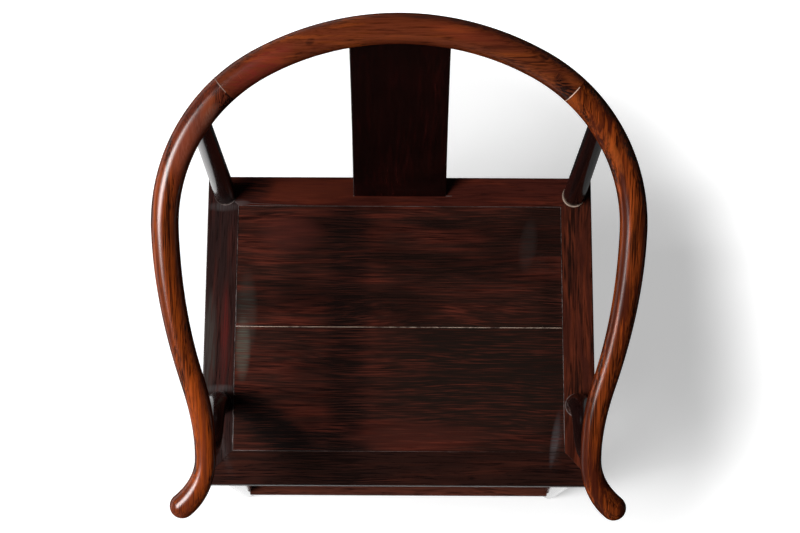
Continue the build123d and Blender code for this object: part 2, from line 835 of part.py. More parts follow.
with BuildPart() as rear_leg_left:
    mirror(rear_leg_right.part, about=Plane.YZ)

with BuildPart() as arm_post_right:
    loft(sections=arm_post_sketches())
    loft(
        sections=rail_rings(arm_post_distance - back_diameter, arm_post_distance + back_diameter, fit_gap),
        mode=Mode.SUBTRACT,
    )
    with Locations(arm_top.offset(-arm_rail_radius - cut_overrun)):
        Cylinder(
            post_tenon_radius,
            arm_rail_radius + cut_overrun + post_tenon_past_center_length,
            align=bottom,
        )
    with Locations(arm_post_section(0).offset(-arm_post_tenon_length)):
        Cylinder(arm_post_tenon_diameter / 2, arm_post_tenon_length, align=bottom)

with BuildPart() as arm_post_left:
    mirror(arm_post_right.part, about=Plane.YZ)

with BuildPart() as stretcher_right:
    side_stretcher(0, Mode.ADD)

with BuildPart() as stretcher_left:
    mirror(stretcher_right.part, about=Plane.YZ)

with BuildPart() as stretcher_rear:
    back_stretcher(0, Mode.ADD)

with BuildPart() as footrest:
    footrest_half = footrest_axis.X - footrest_shoulder
    with BuildSketch(Plane.YZ.offset(-footrest_half)):
        with Locations((footrest_center_y, footrest_height)):
            RectangleRounded(footrest_width, footrest_thickness, footrest_corner_radius)
    extrude(amount=2 * footrest_half)
    front_leg_body(front_line, fit_gap, Mode.SUBTRACT)
    front_leg_body(mirrored(front_line), fit_gap, Mode.SUBTRACT)
    footrest_tenons(0, Mode.ADD)

with BuildPart() as apron_front:
    apron_board(front_apron_plane, front_apron_half)

with BuildPart() as apron_rear:
    apron_board(rear_apron_plane, rear_apron_half)

with BuildPart() as apron_right:
    apron_board(side_apron_plane, side_apron_half)

with BuildPart() as apron_left:
    mirror(apron_right.part, about=Plane.YZ)

pieces = {
    "crest_rail_center": crest_rail_center,
    "crest_rail_left_arm": crest_rail_left_arm,
    "crest_rail_right_arm": crest_rail_right_arm,
    "scarf_pin_left": scarf_pin_left,
    "scarf_pin_right": scarf_pin_right,
    "back_splat": back_splat,
    "rear_leg_left": rear_leg_left,
    "rear_leg_right": rear_leg_right,
    "front_leg_left": front_leg_left,
    "front_leg_right": front_leg_right,
    "arm_post_left": arm_post_left,
    "arm_post_right": arm_post_right,
    "seat_rail_front": seat_rail_front,
    "seat_rail_rear": seat_rail_rear,
    "seat_rail_left": seat_rail_left,
    "seat_rail_right": seat_rail_right,
    "seat_board_front": seat_board_front,
    "seat_board_rear": seat_board_rear,
    "seat_batten_left": seat_batten_left,
    "seat_batten_right": seat_batten_right,
    "footrest": footrest,
    "stretcher_left": stretcher_left,
    "stretcher_right": stretcher_right,
    "stretcher_rear": stretcher_rear,
    "apron_front": apron_front,
    "apron_rear": apron_rear,
    "apron_left": apron_left,
    "apron_right": apron_right,
}
for name, piece in pieces.items():
    piece.part.label = name
    export_step(piece.part, f"parts/{name}.step")
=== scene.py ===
"""Horseshoe back armchair: the wood, its joints and the studio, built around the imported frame."""

import logging
import math
from dataclasses import dataclass, field, replace
from enum import Enum
from typing import Any, Callable, NamedTuple, Optional, Sequence, Union

import bmesh
import bpy
from mathutils import Matrix, Vector


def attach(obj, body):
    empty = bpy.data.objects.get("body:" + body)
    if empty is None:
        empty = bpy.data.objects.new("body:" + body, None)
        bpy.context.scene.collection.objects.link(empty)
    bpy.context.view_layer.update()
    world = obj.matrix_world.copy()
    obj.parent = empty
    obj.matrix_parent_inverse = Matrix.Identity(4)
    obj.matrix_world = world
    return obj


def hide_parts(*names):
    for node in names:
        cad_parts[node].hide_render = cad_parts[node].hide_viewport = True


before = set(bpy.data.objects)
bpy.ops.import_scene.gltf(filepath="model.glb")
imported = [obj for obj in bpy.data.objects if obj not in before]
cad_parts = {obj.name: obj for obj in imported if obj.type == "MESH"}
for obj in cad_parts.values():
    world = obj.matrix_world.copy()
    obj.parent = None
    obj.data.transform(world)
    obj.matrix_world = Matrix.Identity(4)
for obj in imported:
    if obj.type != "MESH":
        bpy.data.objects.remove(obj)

MM = 0.001
BODY = "root"
NEAR = 0.01  # millimetres within which two places count as the same
PARALLEL = 0.999  # cosine past which an edge counts as parallel to an axis
SHARP_ANGLE = math.radians(40.0)
SEED_SHIFT = (1.7, 1.0, 0.6)
UP = Vector((0.0, 0.0, 1.0))
ACROSS = Vector((1.0, 0.0, 0.0))
QUARTER_Y = Matrix.Rotation(math.radians(90), 4, "Y")
QUARTER_Z = Matrix.Rotation(math.radians(90), 4, "Z")
log = logging.getLogger("armchair")

Color = tuple[float, float, float]
Point = tuple[float, float, float]
Pair = tuple[float, float]
Material = bpy.types.Material
Edge = bmesh.types.BMEdge


class Slot(Enum):
    """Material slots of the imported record."""

    RAIL = "rail_wood"
    LEG = "leg_wood"
    FRAME = "frame_wood"
    PANEL = "panel_wood"


class Side(Enum):
    """Left and right as seen from the front; the value is the sign of X."""

    LEFT = -1
    RIGHT = 1

    @property
    def word(self) -> str:
        """The side's name in lower case."""
        return self.name.lower()


# Shaders


class Expr:
    """One socket of a material, so that shader maths reads as ordinary expressions."""

    def __init__(self, graph: "Graph", socket: bpy.types.NodeSocket) -> None:
        """Wraps a socket of a graph."""
        self.graph = graph
        self.socket = socket

    def _math(self, operation: str, first: Any, second: Any) -> "Expr":
        """Adds one Math node."""
        return self.graph.value("ShaderNodeMath", {"operation": operation}, {0: first, 1: second})

    def __add__(self, other: Any) -> "Expr":
        """Sum."""
        return self._math("ADD", self, other)

    __radd__ = __add__

    def __mul__(self, other: Any) -> "Expr":
        """Product."""
        return self._math("MULTIPLY", self, other)

    __rmul__ = __mul__

    def __sub__(self, other: Any) -> "Expr":
        """Difference."""
        return self._math("SUBTRACT", self, other)

    def __rsub__(self, other: Any) -> "Expr":
        """Difference from a number."""
        return self._math("SUBTRACT", other, self)

    def __abs__(self) -> "Expr":
        """Absolute value."""
        return self._math("ABSOLUTE", self, 0.0)

    def step(self, low: float, high: float) -> "Expr":
        """Smooth rise from 0 to 1.

        Args:
            low: Value up to which it is 0.
            high: Value from which it is 1.

        Returns:
            The rise.
        """
        return self.graph.value(
            "ShaderNodeMapRange",
            {"interpolation_type": "SMOOTHSTEP"},
            {"Value": self, "From Min": low, "From Max": high},
        )


class Graph:
    """Node tree of one material, or of the world."""

    def __init__(self, owner: Union[Material, bpy.types.World]) -> None:
        """Empties the tree.

        Args:
            owner: Material or world that the tree belongs to.
        """
        self.owner = owner
        owner.use_nodes = True
        self.tree = owner.node_tree
        self.tree.nodes.clear()

    @classmethod
    def for_material(cls, name: str) -> "Graph":
        """Starts a new material."""
        return cls(bpy.data.materials.new(name))

    def node(
        self,
        kind: str,
        settings: Optional[dict[str, Any]] = None,
        inputs: Optional[dict[Union[str, int], Any]] = None,
    ) -> bpy.types.Node:
        """Adds a node.

        Args:
            kind: Node type.
            settings: Its own settings, set first.
            inputs: Values or expressions for its sockets.

        Returns:
            The node.
        """
        made = self.tree.nodes.new(kind)
        for key, value in (settings or {}).items():
            setattr(made, key, value)
        for key, value in (inputs or {}).items():
            if isinstance(value, Expr):
                self.tree.links.new(value.socket, made.inputs[key])
            else:
                made.inputs[key].default_value = value
        return made

    def value(
        self,
        kind: str,
        settings: Optional[dict[str, Any]] = None,
        inputs: Optional[dict[Union[str, int], Any]] = None,
        output: Union[str, int] = 0,
    ) -> Expr:
        """Adds a node and returns one of its outputs."""
        return Expr(self, self.node(kind, settings, inputs).outputs[output])

    def mix(self, first: Any, second: Any, share: Any, blend: str = "MIX") -> Expr:
        """Mixes two colours.

        Args:
            first: Colour at share 0.
            second: Colour at share 1.
            share: Factor.
            blend: Blend mode.

        Returns:
            The mixed colour.
        """
        pair = [value if isinstance(value, Expr) else (*value, 1.0) for value in (first, second)]
        settings = {"data_type": "RGBA", "blend_type": blend}
        return self.value("ShaderNodeMix", settings, {0: share, 6: pair[0], 7: pair[1]}, 2)

    def stretched(self, vector: Expr, scale: Point, shift: Point = (0.0, 0.0, 0.0)) -> Expr:
        """Scales and shifts a coordinate."""
        inputs = {"Vector": vector, "Location": shift, "Scale": scale}
        return self.value("ShaderNodeMapping", {}, inputs)

    def noise(self, vector: Expr, detail: float = 2.0, roughness: float = 0.5) -> Expr:
        """Noise of one cell per unit of the vector."""
        inputs = {"Vector": vector, "Scale": 1.0, "Detail": detail, "Roughness": roughness}
        return self.value("ShaderNodeTexNoise", {}, inputs)

    def coordinates(self, kind: str = "Object") -> Expr:
        """One kind of texture coordinate."""
        return self.value("ShaderNodeTexCoord", {}, {}, kind)

    def split(self, vector: Expr) -> list[Expr]:
        """X, Y and Z of a vector."""
        outputs = self.node("ShaderNodeSeparateXYZ", {}, {"Vector": vector}).outputs
        return [Expr(self, socket) for socket in outputs]

    def ray(self, kind: str) -> Expr:
        """Whether a ray is of one kind, as 0 or 1."""
        return self.value("ShaderNodeLightPath", {}, {}, kind)

    def finish(self, surface: Expr) -> Material:
        """Joins the surface to the output and returns the material."""
        self.node("ShaderNodeOutputMaterial", {}, {"Surface": surface})
        return self.owner


@dataclass(frozen=True)
class Patch:
    """A soft oval patch, seen from above, in another colour: some give the wood or its polish
    another tone, others are painted shadow, shade or sheen.
    """

    center: Pair
    reach: Pair
    strength: float
    color: Color
    turn: float = 0.0

    def share(self, x_place: Expr, y_place: Expr) -> Expr:
        """Works out how strongly the patch covers a place.

        Args:
            x_place: Place along X, in metres.
            y_place: Place along Y, in metres.

        Returns:
            Share between 0 and the patch's strength.
        """
        cos, sin = math.cos(math.radians(self.turn)), math.sin(math.radians(self.turn))
        x_from, y_from = x_place - self.center[0], y_place - self.center[1]
        along = (x_from * cos + y_from * sin) * (1.0 / self.reach[0])
        across = (y_from * cos - x_from * sin) * (1.0 / self.reach[1])
        spread = along * along + across * across
        return (1.0 - spread.step(0.0, 1.0)) * self.strength


@dataclass(frozen=True)
class Noise:
    """One noise: its cells along and across the grain, and how detailed it is."""

    along: float
    across: float
    shift: Point = (0.0, 0.0, 0.0)
    detail: float = 2.0
    roughness: float = 0.5

    def draw(self, graph: Graph, course: Expr, along: float = 1.0, across: float = 1.0) -> Expr:
        """Adds the noise to a graph.

        Args:
            graph: Graph of the material.
            course: Coordinate whose x follows the grain.
            along: Factor on the cells along the grain.
            across: Factor on the cells across it.

        Returns:
            The noise, about 0.5 on average.
        """
        scale = (self.along * along, self.across * across, self.across * across)
        return graph.noise(graph.stretched(course, scale, self.shift), self.detail, self.roughness)


class Figure(NamedTuple):
    """Noises that draw the figure of a piece of wood."""

    streak: Expr
    broad: Expr
    fine: Expr
    cloud: Expr
    pores: Expr


@dataclass(frozen=True)
class Rosewood:
    """Polished dark hardwood: a ground colour, red lights, dark veins and fine pores.

    The grain runs along X of the mesh attribute "grain", in metres. The red lights can fade
    out between two places along Y.
    """

    name: str
    ground: Color
    glow: Color
    vein: Color
    glow_from: float = 0.46
    glow_to: float = 0.66
    vein_from: float = 0.52
    vein_to: float = 0.66
    vein_width: float = 0.0055
    vein_length: float = 0.11
    lines: float = 0.75
    roughness: float = 0.42
    shine: float = 0.03
    coat: float = 0.7
    coat_roughness: float = 0.12
    rim: float = 0.5
    clouds: float = 0.0
    threads: float = 0.0
    fade: Optional[Pair] = None
    patches: tuple[Patch, ...] = ()

    sway: Noise = Noise(3.0, 14.0, detail=1.0)
    streak: Noise = Noise(1.0, 1.0, detail=3.0, roughness=0.55)
    broad: Noise = Noise(0.45, 0.3, (7.0, 3.0, 1.0))
    fine: Noise = Noise(2.2, 3.2, (1.0, 5.0, 9.0))
    cloud: Noise = Noise(7.0, 20.0, (3.0, 8.0, 2.0))
    wide: Noise = Noise(3.0, 12.0, (5.0, 2.0, 8.0), 3.0, 0.6)
    pore: Noise = Noise(90.0, 1500.0, detail=1.0)
    sway_reach: Pair = (0.03, 0.02)
    line_width: float = 0.05
    line_edge: Pair = (0.35, 0.6)
    vein_share: float = 0.9
    mottle: Color = (0.42, 0.36, 0.34)
    mottle_edge: Pair = (0.42, 0.7)
    mottle_share: float = 0.6
    pore_tone: Color = (0.45, 0.4, 0.4)
    pore_edge: Pair = (0.62, 0.72)
    pore_share: float = 0.6
    thread_edge: Pair = (0.5, 0.72)
    wide_edge: Pair = (0.48, 0.66)
    cloud_roughness: float = 0.16
    pore_roughness: float = 0.15
    patch_roughness: float = 0.2
    patch_edge: Pair = (0.3, 0.7)
    patch_shares: Pair = (0.3, 1.1)
    rim_edge: Pair = (0.3, 0.72)
    relief: float = 0.00015

    def figure(self, graph: Graph, grain: Expr) -> Figure:
        """Draws the figure along a grain that sways a little.

        Args:
            graph: Graph of the material.
            grain: Coordinate of the grain.

        Returns:
            The noises.
        """
        sway = self.sway.draw(graph, grain) - 0.5
        y_sway, z_sway = (sway * reach for reach in self.sway_reach)
        shift = graph.value("ShaderNodeCombineXYZ", {}, {"X": 0.0, "Y": y_sway, "Z": z_sway})
        course = graph.value("ShaderNodeVectorMath", {"operation": "ADD"}, {0: grain, 1: shift})
        along, across = 1.0 / self.vein_length, 1.0 / self.vein_width
        return Figure(
            self.streak.draw(graph, course, along, across),
            self.broad.draw(graph, course, along, across),
            self.fine.draw(graph, course, along, across),
            self.cloud.draw(graph, grain),
            self.pore.draw(graph, grain).step(*self.pore_edge),
        )

    def color(self, graph: Graph, grain: Expr, figure: Figure, y_place: Expr) -> Expr:
        """Lays lights, veins, lines and pores over the ground colour.

        Args:
            graph: Graph of the material.
            grain: Coordinate of the grain.
            figure: Noises of the wood.
            y_place: Place along Y, in metres.

        Returns:
            The wood's colour without its patches.
        """
        streak, broad, fine, cloud, pores = figure
        lights = streak * 0.3 + broad * 0.3 + fine * 0.15 + cloud * 0.25
        lights = lights.step(self.glow_from, self.glow_to)
        if self.fade:
            lights = lights * (1.0 - y_place.step(*self.fade))
        veins = (broad * 0.5 + cloud * 0.2 + fine * 0.3).step(self.vein_from, self.vein_to)
        lines = (1.0 - abs(streak - 0.5) * (1.0 / self.line_width)).step(0.0, 1.0)
        color = graph.mix(self.ground, self.glow, lights)
        color = graph.mix(color, self.vein, veins * self.vein_share)
        color = graph.mix(color, self.vein, lines * fine.step(*self.line_edge) * self.lines)
        mottle = fine.step(*self.mottle_edge) * self.mottle_share
        color = graph.mix(color, self.mottle, mottle, "MULTIPLY")
        color = graph.mix(color, self.pore_tone, pores * self.pore_share, "MULTIPLY")
        if self.threads:
            threads = (1.0 - fine).step(*self.thread_edge)
            color = graph.mix(color, self.glow, threads * self.threads)
        if self.clouds:
            clouds = self.wide.draw(graph, grain).step(*self.wide_edge)
            color = graph.mix(color, self.vein, clouds * self.clouds)
        return color

    def make(self) -> Material:
        """Builds the material.

        Returns:
            The material.
        """
        graph = Graph.for_material(self.name)
        grain = graph.value("ShaderNodeAttribute", {"attribute_name": "grain"}, {}, "Vector")
        figure = self.figure(graph, grain)
        streak, _, fine, cloud, pores = figure
        x_place, y_place, _ = graph.split(graph.coordinates())
        color = self.color(graph, grain, figure, y_place)
        rough = self.roughness + (cloud - 0.5) * self.cloud_roughness + pores * self.pore_roughness
        least, more = self.patch_shares
        broken = least + fine.step(*self.patch_edge) * more
        # Patches lay the wood's own tones and also painted shadows, shade and sheen.
        for patch in self.patches:
            cover = patch.share(x_place, y_place) * broken
            color = graph.mix(color, patch.color, cover)
            rough = rough + cover * self.patch_roughness
        facing = graph.value("ShaderNodeLayerWeight", {}, {"Blend": 0.5}, "Facing")
        coat = self.coat * (1.0 - facing.step(*self.rim_edge) * self.rim)
        height = cloud * 3.0 + streak * 0.5 + fine * 0.25 - pores * 0.1
        relief = {"Strength": 1.0, "Distance": self.relief, "Height": height}
        inputs = {
            "Base Color": color,
            "Roughness": rough,
            "Normal": graph.value("ShaderNodeBump", {}, relief),
            "Specular IOR Level": self.shine,
            "Coat Weight": coat,
            "Coat Roughness": self.coat_roughness,
        }
        return graph.finish(graph.value("ShaderNodeBsdfPrincipled", {}, inputs))


@dataclass(frozen=True)
class Residue:
    """Pale dust and old wax caught in a joint, broken along its length."""

    name: str
    pale: Color
    cover: float
    dark: Color = (0.03, 0.016, 0.013)
    roughness: float = 0.75
    breaks: Noise = Noise(22.0, 22.0, detail=3.0, roughness=0.6)
    specks: Noise = Noise(160.0, 160.0, roughness=0.6)
    edge: Pair = (-0.08, 0.12)

    def make(self) -> Material:
        """Builds the material.

        Returns:
            The material.
        """
        graph = Graph.for_material(self.name)
        place = graph.coordinates()
        share = self.breaks.draw(graph, place) * 0.6 + self.specks.draw(graph, place) * 0.4
        share = share.step(*(self.cover + shift for shift in self.edge))
        inputs = {"Base Color": graph.mix(self.dark, self.pale, share), "Roughness": self.roughness}
        return graph.finish(graph.value("ShaderNodeBsdfPrincipled", {}, inputs))


@dataclass(frozen=True)
class Paper:
    """Pale studio floor, white to the camera where no shadow falls on it.

    The polish sees it darkened, as if by black flags: past flag along X, with a gap round
    flag_gap along Y and a paler strip at the right, and in front of flag_front along Y.
    """

    name: str = "studio_floor"
    seen: Color = (0.82, 0.82, 0.82)
    bounce: Color = (0.34, 0.34, 0.34)
    lift: float = 0.47
    far_lift: float = 0.95
    far: Pair = (0.56, 0.78)
    flag: Pair = (-0.5, -0.28)
    flag_gap: float = -0.28
    flag_share: float = 0.985
    gap_edge: Pair = (0.03, 0.06)
    open_share: float = 0.2
    open_near: Pair = (0.3, 0.36)
    open_far: Pair = (0.6, 0.8)
    flag_front: Pair = (-0.9, -0.45)
    flag_tone: Color = (0.01, 0.01, 0.01)

    def make(self) -> Material:
        """Builds the material.

        Returns:
            The material.
        """
        graph = Graph.for_material(self.name)
        place = graph.coordinates()
        x_place, y_place, _ = graph.split(place)
        flagged = x_place.step(*self.flag) * abs(y_place - self.flag_gap).step(*self.gap_edge)
        opened = x_place.step(*self.open_near) * (1.0 - x_place.step(*self.open_far))
        flagged = flagged * (1.0 - opened * self.open_share)
        mirrored = (1.0 - flagged * self.flag_share) * y_place.step(*self.flag_front)
        glossy = graph.ray("Is Glossy Ray")
        direct = graph.ray("Is Camera Ray") + glossy * mirrored
        distance = graph.value("ShaderNodeVectorMath", {"operation": "LENGTH"}, {0: place}, "Value")
        low, high = (self.lift,) * 3, (self.far_lift,) * 3
        # Painted light on the floor: its glow rises from lift near the middle to far_lift further
        # out.
        glow = graph.mix(low, high, distance.step(*self.far))
        light = graph.value("ShaderNodeEmission", {}, {"Color": glow, "Strength": 1.0})
        cloth = graph.value("ShaderNodeBsdfDiffuse", {}, {"Color": (*self.seen, 1.0)})
        lit = graph.value("ShaderNodeAddShader", {}, {0: cloth, 1: light})
        shade = graph.mix(self.bounce, self.flag_tone, glossy * flagged)
        dull = graph.value("ShaderNodeBsdfDiffuse", {}, {"Color": shade})
        return graph.finish(graph.value("ShaderNodeMixShader", {}, {0: direct, 1: dull, 2: lit}))


# Meshes


@dataclass(frozen=True)
class Ring:
    """A circle of a tube: its plane and its radius in millimetres."""

    plane: Matrix
    radius: float

    def matrix(self) -> Matrix:
        """Placement of a unit circle."""
        return self.plane @ Matrix.Diagonal((self.radius, self.radius, 1.0, 1.0))


def plane_at(origin: Vector, x_dir: Vector, z_dir: Vector) -> Matrix:
    """Placement matrix from an origin, a local x direction and a local z direction.

    Args:
        origin: Place of the plane's origin.
        x_dir: Direction near the local x axis.
        z_dir: Direction of the local z axis.

    Returns:
        A rigid placement.
    """
    z_axis = z_dir.normalized()
    x_axis = (x_dir - z_axis * x_dir.dot(z_axis)).normalized()
    y_axis = z_axis.cross(x_axis)
    turn = Matrix((x_axis, y_axis, z_axis)).transposed().to_4x4()
    return Matrix.Translation(origin) @ turn


class Solid:
    """A closed mesh in millimetres, shaped with bmesh operators."""

    def __init__(self) -> None:
        """Starts an empty mesh."""
        self.bm = bmesh.new()

    def tube(self, rings: Sequence[Ring], segments: int = 48, capped: bool = True) -> None:
        """Grows a round tube through rings.

        Args:
            rings: Circles from one end to the other.
            segments: Points round each circle.
            capped: Whether both ends are closed.
        """
        made = bmesh.ops.create_circle(
            self.bm, cap_ends=False, segments=segments, radius=1.0, matrix=rings[0].matrix()
        )
        verts = made["verts"]
        edges = list({edge for vert in verts for edge in vert.link_edges})
        if capped:
            bmesh.ops.contextual_create(self.bm, geom=edges)
        for ring, before in zip(rings[1:], rings):
            grown = bmesh.ops.extrude_edge_only(self.bm, edges=edges)["geom"]
            verts = [item for item in grown if isinstance(item, bmesh.types.BMVert)]
            ends = set(verts)
            grown_edges = [item for item in grown if isinstance(item, Edge)]
            edges = [edge for edge in grown_edges if ends.issuperset(edge.verts)]
            move = ring.matrix() @ before.matrix().inverted()
            bmesh.ops.transform(self.bm, matrix=move, verts=verts)
        if capped:
            bmesh.ops.contextual_create(self.bm, geom=edges)

    def block(self, low: Point, high: Point) -> None:
        """Adds a box.

        Args:
            low: Its lowest corner.
            high: Its highest corner.
        """
        size = Vector(high) - Vector(low)
        middle = (Vector(high) + Vector(low)) / 2
        place = Matrix.Translation(middle) @ Matrix.Diagonal((*size, 1.0))
        bmesh.ops.create_cube(self.bm, size=1.0, matrix=place)

    def prism(self, corners: Sequence[Point], depth: Vector) -> None:
        """Extrudes a flat outline.

        Args:
            corners: Corners of the outline, in order.
            depth: How far and which way it is extruded.
        """
        verts = [bmesh.ops.create_vert(self.bm, co=corner)["vert"][0] for corner in corners]
        edges = []
        for first, second in zip(verts, verts[1:] + verts[:1]):
            edges += bmesh.ops.contextual_create(self.bm, geom=[first, second])["edges"]
        face = bmesh.ops.contextual_create(self.bm, geom=edges)["faces"][0]
        grown = bmesh.ops.extrude_face_region(self.bm, geom=[face])["geom"]
        far = [item for item in grown if isinstance(item, bmesh.types.BMVert)]
        bmesh.ops.translate(self.bm, vec=depth, verts=far)
        bmesh.ops.recalc_face_normals(self.bm, faces=self.bm.faces[:])

    def bevel(self, radius: float, choose: Callable[[Edge], bool], segments: int = 3) -> None:
        """Rounds edges.

        Args:
            radius: Radius in millimetres.
            choose: Which edges.
            segments: Faces across the round.
        """
        edges = [edge for edge in self.bm.edges if choose(edge)]
        bmesh.ops.bevel(
            self.bm, geom=edges, offset=radius, offset_type="OFFSET", segments=segments,
            profile=0.5, affect="EDGES", material=-1,
        )

    def divide(self, cuts: int, axis: int) -> None:
        """Cuts every edge that runs along an axis into equal lengths."""
        edges = [edge for edge in self.bm.edges if runs_along(edge, axis)]
        bmesh.ops.subdivide_edges(self.bm, edges=edges, cuts=cuts, use_grid_fill=True)

    def move_each(self, place: Callable[[Vector], Vector]) -> None:
        """Moves every point by a rule."""
        for vert in self.bm.verts:
            vert.co = place(vert.co)

    def transform(self, place: Matrix) -> None:
        """Places the whole mesh."""
        bmesh.ops.transform(self.bm, matrix=place, verts=self.bm.verts[:])

    def mirror(self) -> None:
        """Turns the mesh into its mirror image in X = 0."""
        bmesh.ops.scale(self.bm, vec=(-1.0, 1.0, 1.0), verts=self.bm.verts[:])
        bmesh.ops.reverse_faces(self.bm, faces=self.bm.faces[:])

    def piece(
        self,
        name: str,
        material: Material,
        replaced: Sequence[str] = (),
        grain: Optional[Matrix] = None,
        seed: float = 0.0,
        flat_over: float = 400.0,
    ) -> None:
        """Makes the object, with its grain, and lets it ride on the chair.

        Args:
            name: Name of the piece.
            material: Its finish.
            replaced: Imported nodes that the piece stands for.
            grain: Placement whose x axis is the grain's direction.
            seed: Shift of the grain, in metres, so that no two pieces match.
            flat_over: Area in square millimetres past which a face is shaded flat.
        """
        bmesh.ops.recalc_face_normals(self.bm, faces=self.bm.faces[:])
        back = (grain or Matrix.Identity(4)).inverted()
        shift = Vector([seed * share for share in SEED_SHIFT])
        layer = self.bm.verts.layers.float_vector.new("grain")
        for vert in self.bm.verts:
            vert[layer] = (back @ vert.co) * MM + shift
        bmesh.ops.scale(self.bm, vec=(MM, MM, MM), verts=self.bm.verts[:])
        mesh = bpy.data.meshes.new(name)
        self.bm.to_mesh(mesh)
        self.bm.free()
        mesh.set_sharp_from_angle(angle=SHARP_ANGLE)
        for polygon in mesh.polygons:
            polygon.use_smooth = polygon.area < flat_over * MM**2
        mesh.materials.append(material)
        made = add_object(name, mesh)
        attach(made, BODY)
        if replaced:
            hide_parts(*replaced)
        log.info("%s: %d faces", name, len(mesh.polygons))


def runs_along(edge: Edge, axis: int) -> bool:
    """Whether an edge is parallel to an axis."""
    run = edge.verts[1].co - edge.verts[0].co
    return abs(run[axis]) > PARALLEL * run.length


def edge_at(edge: Edge, axis: int, value: float) -> bool:
    """Whether both ends of an edge lie at a value of an axis."""
    return all(abs(vert.co[axis] - value) < NEAR for vert in edge.verts)


def add_object(name: str, data: Any) -> bpy.types.Object:
    """Makes an object and puts it in the scene.

    Args:
        name: Its name.
        data: Its mesh, lamp or camera.

    Returns:
        The object.
    """
    made = bpy.data.objects.new(name, data)
    bpy.context.scene.collection.objects.link(made)
    return made


# The chair


@dataclass(frozen=True)
class Bend:
    """One arc of the crest rail: its radius, its turn in degrees and the diameter at its end."""

    radius: float
    turn: float
    diameter: float

    @property
    def length(self) -> float:
        """Length of the arc's centre line."""
        return self.radius * math.radians(abs(self.turn))


@dataclass
class Datum:
    """Heights and places that several pieces share, in millimetres."""

    seat_y: float = -19.084
    seat_height: float = 503.0
    seat_width: float = 600.0
    seat_depth: float = 480.0
    frame_thickness: float = 32.0
    side_width: float = 48.0
    front_width: float = 51.0
    rear_width: float = 47.0
    seam_offset: float = 1.5

    def __post_init__(self) -> None:
        """Works out the seat's underside, its front and back, its opening and the seam."""
        self.under = self.seat_height - self.frame_thickness
        self.front_y = self.seat_y - self.seat_depth / 2
        self.rear_y = self.seat_y + self.seat_depth / 2
        self.inner_x = self.seat_width / 2 - self.side_width
        self.inner_front = self.front_y + self.front_width
        self.inner_rear = self.rear_y - self.rear_width
        self.seam_y = self.seat_y + self.seam_offset


